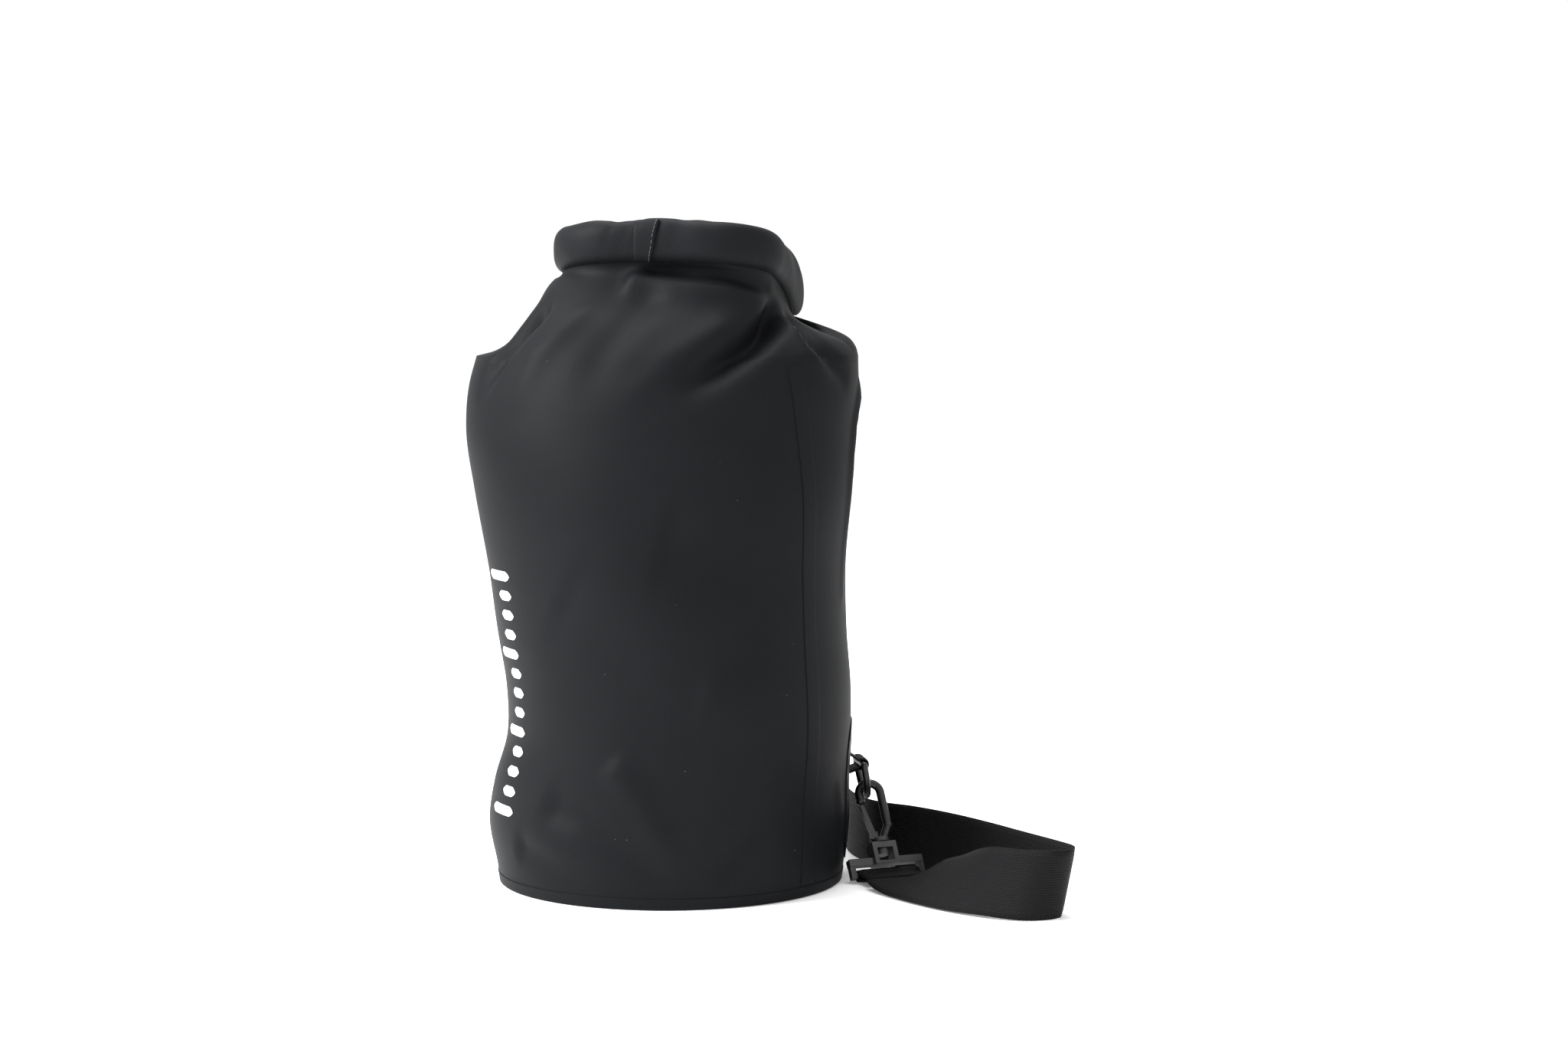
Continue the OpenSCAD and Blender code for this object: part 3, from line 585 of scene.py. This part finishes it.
# %% The bag's wall
WALL, UV_CUT_DEG = 0.8, 330
columns = AROUND + 1
seam_column = int(np.argmin(np.abs(ring_deg - UV_CUT_DEG)))
order = [(seam_column + i) % AROUND for i in range(AROUND)] + [seam_column]
wrapped = panel[:, order]
uv = flat_uv(wrapped, columns)
outer_uv = uv.reshape(panel.shape[0], columns, 2)
vertices = panel.reshape(-1, 3)
faces, corners = [], []
for j in range(panel.shape[0] - 1):
    for i in range(AROUND):
        faces.append([j * AROUND + order[i], j * AROUND + order[i + 1],
                      (j + 1) * AROUND + order[i + 1], (j + 1) * AROUND + order[i]])
        corners += [outer_uv[j, i], outer_uv[j, i + 1], outer_uv[j + 1, i + 1], outer_uv[j + 1, i]]
bag_panel = new_object("bag_panel", vertices, faces, cloth_finish)
layer = bag_panel.data.uv_layers.new(name="cut")
layer.data.foreach_set("uv", (np.array(corners) * MM).ravel())
wall = bag_panel.modifiers.new("wall", "SOLIDIFY")
wall.thickness = WALL * MM
wall.offset = -1.0
finder = BVHTree.FromPolygons([tuple(v) for v in vertices], faces)
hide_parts("body_panel")
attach(bag_panel, "bag")
print("bag wall", len(faces), "faces")


OUTSIDE = 170  # a ray starts this far from the bag's middle


def on_bag(deg, z):
    """Where the bag's surface is at that angle and height, and its outward normal."""
    a = radians(deg)
    way = Vector((-cos(a), -sin(a), 0))
    start = Vector((cos(a) * OUTSIDE, sin(a) * OUTSIDE, z))
    place, normal, _, _ = finder.ray_cast(start, way)
    return np.array(place), np.array(normal if normal.dot(way) < 0 else -normal)


def strip_on_bag(name, deg, width, z0, z1, thick, finish, across, up, outline=None, lift=0.05):
    """A thin sheet lying on the bag. outline(u, v) moves a corner of the unit square, if given."""
    points = np.zeros((up + 1, across + 1, 3))
    outs = np.zeros_like(points)
    for j in range(up + 1):
        for i in range(across + 1):
            u, v = i / across, j / up
            if outline:
                u, v = outline(u, v)
            place, normal = on_bag(deg + (u - 0.5) * width / AROUND_MM, z0 + (z1 - z0) * v)
            points[j, i], outs[j, i] = place + normal * lift, normal
    return thick_grid(name, points, thick, finish, outs)


# %% [markdown]
# The tube is closed by one lapped seam. The strip that shows is 11 mm wide, runs from base to
# shoulder and stands a third of a millimetre proud. The two patches hold the rings for the strap.
# They are cut with round corners, so the grid of each one is squeezed into that outline.

# %% Seam and patches
def round_corners(width, height, radius):
    """Maps the unit square into itself with rounded corners."""
    def outline(u, v):
        x, y = (u - 0.5) * width, (v - 0.5) * height
        edge_y = max(abs(y) - (height / 2 - radius), 0)
        edge_x = max(abs(x) - (width / 2 - radius), 0)
        room_x = width / 2 - radius + sqrt(max(radius**2 - edge_y**2, 0))
        room_y = height / 2 - radius + sqrt(max(radius**2 - edge_x**2, 0))
        share_y = min(room_y, height / 2) / height
        return 0.5 + x / (width / 2) * room_x / width, 0.5 + y / (height / 2) * share_y
    return outline


side_seam = strip_on_bag("side_seam", -25.6, 11, 8, 296, 0.3, cloth_finish, 8, 220)
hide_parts("side_seam_overlap")
lower_patch = strip_on_bag("lower_patch_sheet", 20, 66, 12, 92, 0.6, cloth_finish, 30, 34,
                           round_corners(66, 80, 9))
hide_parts("lower_patch")
upper_patch = strip_on_bag("upper_patch_sheet", 80, 50, 252, 298, 0.9, cloth_finish, 24, 22,
                           round_corners(50, 46, 8))
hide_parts("upper_patch")
base_rim = strip_on_bag("base_rim", 0, 360 * AROUND_MM, 0.8, 6.6, 0.35, cloth_finish, 360, 5)
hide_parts("base_rim_weld")
for piece in (side_seam, lower_patch, upper_patch, base_rim):
    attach(piece, "bag")
    edge = piece.modifiers.new("pressed_edge", "BEVEL")
    edge.width, edge.segments, edge.limit_method = 0.25 * MM, 2, "ANGLE"
print("seam and patches on the bag")

# %% [markdown]
# The real bag has a white screen print down its left side. Here it is a plain row of rounded
# bars, a depth scale with no lettering, with each fourth bar longer. Ink has almost no thickness,
# so each bar is a sheet a tenth of a millimetre thick that follows the cloth.

# %% Printed scale
PRINT_END_DEG, PRINT_Z, BARS = 226.0, 44, 13
BAR_H, BAR_PITCH, BAR_LONG, BAR_SHORT, INK_T = 5.5, 11, 30, 17, 0.12
bars = []
for k in range(BARS):
    bar_w = BAR_LONG if k % 4 == 0 else BAR_SHORT
    z0 = PRINT_Z + k * BAR_PITCH
    bars.append(strip_on_bag(f"bar_{k}", PRINT_END_DEG - bar_w / 2 / AROUND_MM, bar_w, z0, z0 + BAR_H,
                             INK_T, ink, 40, 8, round_corners(bar_w, BAR_H, BAR_H / 2 - 0.05),
                             lift=0.04))
bpy.ops.object.select_all(action="DESELECT")
for bar in bars:
    bar.select_set(True)
bpy.context.view_layer.objects.active = bars[0]
bpy.ops.object.join()
printed_scale = bars[0]
printed_scale.name = "printed_scale"
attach(printed_scale, "bag")
print("print", len(printed_scale.data.polygons), "faces")

# %% [markdown]
# The mouth is rolled two to three turns over two plastic strips and bent round to the buckle.
# From the ends it shows as a spiral, so the roll is a spiral section swept along the roll's
# middle line, with the wrinkles of soft cloth added along it and round it.

# %% Rolled mouth
TURNS, LAYER_GAP, SHEET = 2.4, 3.1, 1.5
STEPS_ROUND, STEPS_ALONG, TURN_MM = 132, 300, 70
SQUARE = 0.78  # under 1 squares the section's oval off
START_DEG = 262  # where the cloth comes up from the neck
LUMP, OPEN_FROM, OPEN_SWELL, OPEN_SAG = 1.7, 0.45, 0.2, 4.0
rng = np.random.default_rng(11)
waves = [(rng.uniform(2, 9), rng.integers(1, 4), rng.uniform(0, 6.28), rng.uniform(0.1, 0.34))
         for _ in range(14)]
creases = [(rng.uniform(-0.95, 0.95), rng.uniform(0.012, 0.035), rng.uniform(-0.5, 0.9),
            rng.uniform(-0.06, 0.06)) for _ in range(26)]


def roll_wrinkle(s, a):
    """Outward push of the roll's cloth at place s and angle a round the section, in mm."""
    push = sum(h * sin(f * s * 3.1 + n * a + p) for f, n, p, h in waves)
    for centre, width, depth, slant in creases:
        push -= depth * exp(-((s - centre - slant * sin(a)) / width) ** 2)
    return push


def roll_point(s, turn, inset):
    """A point of the spiral: turn counts whole turns inward from the neck, at the bottom rear."""
    a = radians(START_DEG - 360 * turn)
    taper = 2.5 * abs(s) ** 10
    half_t = ROLL_T / 2 - taper - turn * LAYER_GAP - inset
    half_h = ROLL_H / 2 - taper / 2 - turn * LAYER_GAP - inset
    x = half_t * copysign(abs(cos(a)) ** SQUARE, cos(a))
    y = half_h * copysign(abs(sin(a)) ** SQUARE, sin(a))
    k = roll_wrinkle(s, a) * max(0.0, 1 - turn)
    x, y = x + k * cos(a), y + k * sin(a)
    # the cloth lies over the strips in slack lumps, and the right end hangs open and lower
    y += LUMP * (abs(sin(8.3 * s + 1.1)) - 0.5) * max(0, sin(a))
    open_end = max(0.0, (s - OPEN_FROM) / (1 - OPEN_FROM)) ** 2
    y = y * (1 + OPEN_SWELL * open_end) - OPEN_SAG * open_end
    cx, cy = mid_line(s)
    ox, oy = mid_line(s, 10)
    nx, ny = (ox - cx) / 10, (oy - cy) / 10
    return cx + nx * x, cy + ny * x, ROLL_Z - ROLL_DROP * droop(s) + y


profile = [(TURNS * k / STEPS_ROUND, 0.0) for k in range(STEPS_ROUND + 1)]
profile += [(TURNS * k / STEPS_ROUND, SHEET) for k in range(STEPS_ROUND, -1, -1)]
roll = np.array([[roll_point(s, turn, inset) for turn, inset in profile]
                 for s in np.linspace(-1, 1, STEPS_ALONG + 1)])
rows, cols = roll.shape[:2]
faces = grid_faces(rows, cols, True, flip=True)
for j in (0, rows - 1):
    for k in range(STEPS_ROUND):
        a, b = j * cols + k, j * cols + cols - 1 - k
        quad = [a, a + 1, b - 1, b]
        faces.append(quad if j == 0 else quad[::-1])
round_mm = np.array([turn * TURN_MM for turn, _ in profile])
along_mm = span(roll, 0)
roll_uv = np.array([(along_mm[j], round_mm[k]) for j in range(rows) for k in range(cols)])
mouth_roll = new_object("mouth_roll", roll.reshape(-1, 3), faces, roll_finish, roll_uv)
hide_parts("rolled_mouth")
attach(mouth_roll, "bag")
print("roll", len(faces), "faces,", round(2 * HALF_LEN), "mm long")

# %% [markdown]
# The hem at the mouth is closed with a lapped joint, which lies on the front of the roll: a
# short band with one slanted end that is held with a row of stitches.

# %% Hem joint and its stitches
HEM_X0, HEM_X1, HEM_SLANT = -9.0, 3.0, 3.0


def on_roll(x, deg, out):
    """A point on the roll's front, out mm off it, at height angle deg."""
    return np.array(roll_point(x / HALF_LEN, (START_DEG - 360 - deg) / 360 % 1, -out))


hem = []
for a in np.linspace(-58, 58, 30):
    hem_w = HEM_X1 - HEM_X0 + HEM_SLANT * sin(radians(a))
    hem.append([on_roll(HEM_X0 + hem_w * i / 8, a, 0.35) for i in range(9)])
hem_joint = thick_grid("hem_joint", np.array(hem), 0.8, roll_finish)
places, ways = [], []
for a in np.linspace(-52, 52, 11):
    x = HEM_X1 - 1.6 + HEM_SLANT * sin(radians(a))
    places.append(on_roll(x, a, 1.2))
    ways.append(on_roll(x + 0.2, a + 4, 1.2) - places[-1])
hem_stitches = bead_row("hem_stitches", places, ways, 2.4, 0.32, thread_finish)
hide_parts("mouth_hem_joint")
for piece in (hem_joint, hem_stitches):
    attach(piece, "bag")
print("hem joint with", len(places), "stitches")

# %% [markdown]
# All webbing is made by one function. It carries a flat section along a route of points with a
# width direction at each, and nips the two edges at every weft, which gives the scalloped edge
# that woven tape shows against the light.

# %% Webbing maker
NIP = 0.22


def resample(points, spacing):
    steps = np.linalg.norm(np.diff(points[:, :3], axis=0), axis=1)
    along = np.concatenate([[0], np.cumsum(steps)])
    count = max(4, int(round(along[-1] / spacing)))
    wanted = np.linspace(0, along[-1], count + 1)
    columns = [np.interp(wanted, along, points[:, k]) for k in range(points.shape[1])]
    return np.stack(columns, axis=1), along[-1]


def tape(name, points, width, thick, finish, across=10, nub=RIB, first_v=0.0):
    """Webbing along points with columns x, y, z and the width direction. Returns (piece, length)."""
    route, length = resample(np.asarray(points, float), nub / 2)
    centre = route[:, :3]
    way = np.gradient(centre, axis=0)
    way /= np.linalg.norm(way, axis=1, keepdims=True)
    wide = route[:, 3:] - way * np.sum(route[:, 3:] * way, axis=1, keepdims=True)
    wide /= np.linalg.norm(wide, axis=1, keepdims=True)
    n = np.cross(way, wide)
    u = np.linspace(-1, 1, across + 1)
    nip = np.where(np.arange(len(centre)) % 2 == 0, 0.0, NIP)
    rings = []
    for c, w, m, cut in zip(centre, wide, n, nip):
        half = width / 2 - cut
        edge = thick / 2 * (1 - 0.55 * np.abs(u) ** 10)
        top = [c + w * half * a + m * e for a, e in zip(u, edge)]
        under = [c + w * half * a - m * e for a, e in zip(u[::-1], edge[::-1])]
        rings.append(top + under)
    rings = np.array(rings)
    rows, cols = rings.shape[:2]
    faces = grid_faces(rows, cols, True)
    faces.append(list(range(cols))[::-1])
    faces.append([(rows - 1) * cols + i for i in range(cols)])
    side = np.concatenate([(u + 1) * width / 2, (u[::-1] + 1) * width / 2])
    v = np.linspace(0, length, rows) + first_v
    uv = np.array([(side[i], v[j]) for j in range(rows) for i in range(cols)])
    return new_object(name, rings.reshape(-1, 3), faces, finish, uv), length


def catmull(points, steps):
    """A smooth curve through rows of points."""
    points = np.asarray(points, float)
    last = len(points) - 1
    made = []
    for x in np.linspace(0, last, last * steps + 1):
        i = min(int(x), last - 1)
        t = x - i
        a, b, c, d = points[max(i - 1, 0)], points[i], points[i + 1], points[min(i + 2, last)]
        made.append((2 * b + (c - a) * t + (2 * a - 5 * b + 4 * c - d) * t * t
                     + (3 * b - a - 3 * c + d) * t**3) / 2)
    return np.array(made)


def arc(cx, cy, r, start, end, steps=14):
    """Points of an arc, from start to end degrees."""
    return [(cx + r * cos(radians(a)), cy + r * sin(radians(a)))
            for a in np.linspace(start, end, steps + 1)]


print("webbing maker ready")

# %% [markdown]
# The shoulder strap is 38 mm webbing. It leaves the lower hook along the floor, twists up onto
# its edge, folds back at its far right and runs behind the bag, then climbs the back to the
# upper hook. Its route repeats the CAD's points in the frame of the bag's widest
# line, and the piece is split at the back into two halves.

# %% Shoulder strap
STRAP_W, STRAP_T = 38.0, 1.6
UPPER_DEG, UPPER_R, UPPER_Z = 80.0, 114.4, 265
BOW_Z, BAR_Z = 30.7, -18.5
HANG = radians(UPPER_DEG - SET_DEG)
STRAP_LOOP = 1.9 + 0.3 + STRAP_T
LAYER_R = STRAP_LOOP - STRAP_T / 2
MAIN_R = UPPER_R - LAYER_R
HANG_TOP = UPPER_Z - BOW_Z + BAR_Z - 9 - 0.2


def hung(r, z):
    return (cos(HANG) * r, sin(HANG) * r, z, sin(HANG), -cos(HANG), 0)


STRAP_ROUTE = [
    (128.2, -35.4, 4.8, 0.95, 0.31, 0), (132, -48, 6.6, 0.88, 0.42, 0.22),
    (139, -66, 10.4, 0.68, 0.58, 0.44), (152, -90, 14.2, 0.4, 0.68, 0.61),
    (169, -116, 19, 0.15, 0.42, 0.89), (186, -130, 19.4, 0.05, 0.15, 0.98),
    (201, -132, 19.4, 0.12, 0, 0.99), (211, -127, 19.4, 0.18, 0, 0.98),
    (214, -118, 19.4, 0.18, 0, 0.98), (211, -107, 19.4, 0.1, 0, 1), (196, -76, 19.4, 0, 0, 1),
    (178, -42, 19.4, 0, 0, 1), (159.5, -12, 19.4, 0, 0, 1), (141, 11, 19.4, 0, 0, 1),
    (122, 28, 19.4, 0, 0, 1), (112, 48, 19.4, 0, 0, 1), (107, 74, 19.4, 0, 0, 1),
    (107, 102, 19.4, 0, 0, 1), (108, 130, 19.4, 0, 0, 1), (105, 154, 19.4, 0, 0, 1),
    (96, 170, 19.4, 0, 0, 1), (84, 175, 19.2, 0.02, -0.17, 0.98),
    (73, 168, 17.4, 0.37, -0.34, 0.87), (66, 155, 11.9, 0.75, -0.34, 0.57),
    (61, 141, 6, 0.95, -0.23, 0.21), hung(139, 3.2), hung(128, 6.5), hung(118, 20), hung(112.5, 40),
    hung(MAIN_R + 0.4, 66), hung(MAIN_R, 96), hung(MAIN_R, HANG_TOP)]
STEPS = 24
SPLIT = 16 * STEPS
smooth_route = catmull(STRAP_ROUTE, STEPS)
for i, j in ((0, 1), (3, 4)):
    x, y = spin(smooth_route[:, i], smooth_route[:, j], SET_DEG)
    smooth_route[:, i], smooth_route[:, j] = x, y
front_run, front_len = tape("strap_front_run", smooth_route[:SPLIT + 1], STRAP_W, STRAP_T,
                            strap_finish)
back_run, back_len = tape("strap_back_run", smooth_route[SPLIT:], STRAP_W, STRAP_T, strap_finish,
                          first_v=front_len)
print("strap run", round(front_len + back_len), "mm")

# %% [markdown]
# At each end the strap goes round the bar of a swivel and is sewn back on itself. The loops are
# drawn in the CAD loop's own plane, given by the swivel's place and lean, so that
# they wrap the bar exactly.

# %% Strap loops round the swivels
LOWER_BOW, LOWER_LEAN, LOWER_TURN = (109.7, 34.9, 46.6), 30.0, 36.0


def at_lower(x, y, z):
    """A point of the lower hook's own frame, placed in the row frame."""
    z -= BOW_Z
    y, z = spin(y, z, -LOWER_LEAN)
    x, y = spin(x, y, LOWER_TURN)
    return np.array([x + LOWER_BOW[0], y + LOWER_BOW[1], z + LOWER_BOW[2]])


def at_upper(x, y, z):
    x, y = spin(x, y, 90)
    x, y = spin(x + UPPER_R, y, UPPER_DEG)
    return np.array([x, y, z + UPPER_Z - BOW_Z])


def loop_rows(outline, place, turn=0.0):
    """Rows for tape(): an outline in the plane across a swivel's bar, placed by one of the frames."""
    rows = []
    wide = place(1, 0, 0) - place(0, 0, 0)
    for y, z in outline:
        y, z = spin(y, z, turn)
        rows.append([*place(0, y, z + BAR_Z), *wide])
    return rows


mid = STRAP_LOOP - STRAP_T / 2
tail = 14.0
lower_outline = [(-tail, -STRAP_T / 2 - 0.1), (-3.4, -STRAP_T / 2 - 0.1)] + arc(0, 0, mid, 212, 508, 30)
lower_outline += [(-3.4, STRAP_T / 2 + 0.1), (-tail, STRAP_T / 2 + 0.1)]
lower_loop, _ = tape("strap_lower_loop", loop_rows(lower_outline, at_lower, LOWER_LEAN), STRAP_W, STRAP_T,
                     strap_finish)
upper_outline = [(-LAYER_R, -9.0)] + arc(0, 0, mid, 180, 0, 24) + [(LAYER_R, -9.0)]
upper_loop, _ = tape("strap_upper_loop", loop_rows(upper_outline, at_upper), STRAP_W, STRAP_T, strap_finish)
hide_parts("strap_lower_end")
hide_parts("strap_upper_end")
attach(lower_loop, "lower_hook_base")
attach(upper_loop, "upper_hook_base")

low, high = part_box("strap_return")
return_r = UPPER_R + LAYER_R
rad = radians(UPPER_DEG)
side_way = (-sin(rad), cos(rad), 0)
straight = [(cos(rad) * return_r, sin(rad) * return_r, z, *side_way)
            for z in (low[2] / MM, high[2] / MM)]
return_run, _ = tape("strap_return_run", straight, STRAP_W, STRAP_T, strap_finish)
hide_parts("strap_return")
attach(return_run, "bag")

SLIDER_Z, SLIDER_BAR = 130.0, 1.7
slider_top_r = MAIN_R + STRAP_T / 2 + 0.8 + SLIDER_BAR + 0.3 + STRAP_T
slider_mid = SLIDER_BAR + 0.3 + STRAP_T / 2
slider_outline = [(slider_mid, 40.0)] + arc(0, 0, slider_mid, 0, -270, 24)


def slider_rows(outline):
    rows = []
    for r, z in outline:
        r += slider_top_r
        rows.append([cos(rad) * r, sin(rad) * r, z + SLIDER_Z + 11, *side_way])
    return rows


slider_loop, _ = tape("slider_webbing_loop", slider_rows(slider_outline), STRAP_W, STRAP_T, strap_finish)
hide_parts("slider_end_loop")
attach(slider_loop, "slider")
print("loops on both hooks and the slider")

# %% [markdown]
# The loops that hold the two rings are 21 mm webbing that is welded under its patch, goes round
# the ring's straight bar and comes back: a drop shape from the side.

# %% Ring loops
RING_BAR = 2.0
LOOP_W = 21.0
LOOP_MID = RING_BAR + 0.3 + 0.8


def ring_loop(name, node, deg, at_r, at_z, back, up, down):
    """Webbing from the patch round a ring's bar; back is the patch, up and down its two roots."""
    a = radians(deg)
    outline = [(back, up)] + arc(0, 0, LOOP_MID, 128, -128, 22) + [(back, down)]
    rows = [[cos(a) * (at_r + r), sin(a) * (at_r + r), at_z + z, -sin(a), cos(a), 0]
            for r, z in catmull(outline, 3)]
    piece, _ = tape(name, rows, LOOP_W, 1.5, tab_finish, across=8, nub=1.1)
    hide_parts(node)
    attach(piece, "bag")


ring_loop("lower_ring_webbing", "lower_ring_loop", 21.4, 110.6, 64, -8.0, 6.4, -4.6)
ring_loop("upper_ring_webbing", "upper_ring_loop", 80, 106, 284, -9.0, 7.0, -4.4)

# %% [markdown]
# Two short tabs of 25 mm webbing run from the ends of the roll to the buckle at the back. Each
# is double, and its fold is the loop that holds a buckle half, so it is drawn as one tape that
# goes out, round the bar and home.

# %% Closure tabs
TAB_W, TAB_LAYER = 25.0, 1.6
BUCKLE = (0.0, 72.0, ROLL_Z - ROLL_DROP)


def closure_tab(name, node, bar_x, play, mirror):
    elbow = (bar_x + play + 8, BUCKLE[1])
    root = (ROLL_X, ROLL_BACK - 6)
    r = RING_BAR + 0.3 + TAB_LAYER / 2
    half = TAB_LAYER / 2 + 0.02
    lean = atan2(elbow[1] - root[1], elbow[0] - root[0])
    nx, ny = -sin(lean) * half, cos(lean) * half
    line = [(root[0] + nx, root[1] + ny), (elbow[0] + nx, elbow[1] + ny - 0.2)]
    if play:
        line += [(bar_x + play, BUCKLE[1] - r)]
    line += arc(bar_x, BUCKLE[1], r, 270 if play else 300, 90 if play else 60, 16)
    if play:
        line += [(bar_x + play, BUCKLE[1] + r)]
    line += [(elbow[0] - nx, elbow[1] - ny + 0.2), (root[0] - nx, root[1] - ny)]
    rows = [[-x if mirror else x, y, BUCKLE[2], 0, 0, 1] for x, y in line]
    piece, _ = tape(name, rows, TAB_W, TAB_LAYER - 0.1, tab_finish, across=10, nub=1.1)
    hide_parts(node)
    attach(piece, "bag")


closure_tab("right_tab_webbing", "right_closure_tab", 15.0, 7.0, False)
closure_tab("left_tab_webbing", "left_closure_tab", 33.0, 0.0, True)

# %% [markdown]
# Plastic parts keep their CAD shape, which moves and fits. A real moulding has no sharp edge, so
# each gets a small bevel on its edges sharper than 35 degrees.

# %% Plastic parts
BEVELS = {"buckle_socket": 0.7, "buckle_plug": 0.5, "buckle_arm_upper": 0.35, "buckle_arm_lower": 0.35,
          "lower_ring": 0.2, "upper_ring": 0.2, "lower_hook": 0.3, "upper_hook": 0.3, "lower_hook_gate": 0.3,
          "upper_hook_gate": 0.3, "lower_swivel": 0.6, "upper_swivel": 0.6, "strap_slider": 0.5}
for name, width in BEVELS.items():
    part = nodes[name]
    part.data.materials.clear()
    part.data.materials.append(acetal)
    edge = part.modifiers.new("moulded_edge", "BEVEL")
    edge.width, edge.segments, edge.limit_method = width * MM, 3, "ANGLE"
    edge.angle_limit = radians(35)
    edge.harden_normals = False
for name, finish in (("base_disc", disc_finish), ("front_stiffener", strip_finish),
                     ("rear_stiffener", strip_finish)):
    nodes[name].data.materials.clear()
    nodes[name].data.materials.append(finish)
print("plastic parts", len(BEVELS))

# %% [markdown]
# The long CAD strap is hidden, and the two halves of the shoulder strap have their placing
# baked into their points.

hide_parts("strap_long_run")
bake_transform(front_run)
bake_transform(back_run)

# %% [markdown]
# The floor is a wide sheet of white paper. Soft boxes on both sides and above give the even
# light of a product picture, with a soft shadow under the bag.

# %% Floor and light
paper, tree, shader = start_material("seamless_white_paper", {
    "Roughness": 0.75, "Specular IOR Level": 0.2, "Emission Color": linear("ffffff"),
    "Emission Strength": 0.12})
place = add(tree, "TexCoord")
fibre = add(tree, "TexNoise", {"Vector": place.outputs["Object"], "Scale": 900.0,
                               "Detail": 3.0})
white = add(tree, "Mix", {"Factor": fibre.outputs["Fac"], 6: linear("fbfbfc"),
                          7: linear("fefefe")}, data_type="RGBA")
link(tree, white.outputs[2], shader.inputs["Base Color"])
bpy.ops.mesh.primitive_plane_add(size=14, location=(0, 2, 0))
floor = bpy.context.object
floor.name = "paper_floor"
floor.data.materials.append(paper)

scene = bpy.context.scene
scene.view_settings.view_transform = "Standard"
world = bpy.data.worlds.new("studio")
scene.world = world
world.use_nodes = True
world.node_tree.nodes["Background"].inputs["Color"].default_value = linear("ffffff")
world.node_tree.nodes["Background"].inputs["Strength"].default_value = 1.02


def soft_box(name, place, size, power, target=(0, 0, 0.17)):
    data = bpy.data.lights.new(name, "AREA")
    data.shape, data.size, data.size_y, data.energy = "RECTANGLE", size[0], size[1], power
    lamp = bpy.data.objects.new(name, data)
    bpy.context.collection.objects.link(lamp)
    lamp.location = place
    lamp.rotation_euler = (Vector(target) - Vector(place)).to_track_quat("-Z", "Y").to_euler()


soft_box("soft_box_left", (-1.6, -1.0, 1.5), (0.9, 1.2), 125)
soft_box("soft_box_right", (1.9, -0.7, 1.0), (0.9, 1.4), 5)
soft_box("soft_box_top", (-0.3, 0.3, 2.1), (1.4, 1.4), 50)
print("studio ready")

# %% [markdown]
# The camera stands where the picture was taken from: a long lens, a little above the middle of
# the bag, 15 degrees round to the right of the roll's front, and turned slightly off the bag so
# that the strap has room on the right.

# %% Camera
AZIMUTH, DISTANCE, CAMERA_Z = 15.0, 1.739, 0.339
PITCH, YAW = 4.416, 2.146
camera_data = bpy.data.cameras.new("camera")
camera_data.lens, camera_data.sensor_width = 70, 36
camera = bpy.data.objects.new("camera", camera_data)
bpy.context.collection.objects.link(camera)
a = radians(AZIMUTH)
camera.location = (DISTANCE * sin(a), -DISTANCE * cos(a), CAMERA_Z)
w, p = radians(YAW), radians(PITCH)
fx, fy = spin(sin(w) * cos(p), cos(w) * cos(p), AZIMUTH)
camera.rotation_euler = Vector((fx, fy, -sin(p))).to_track_quat("-Z", "Y").to_euler()
scene.camera = camera
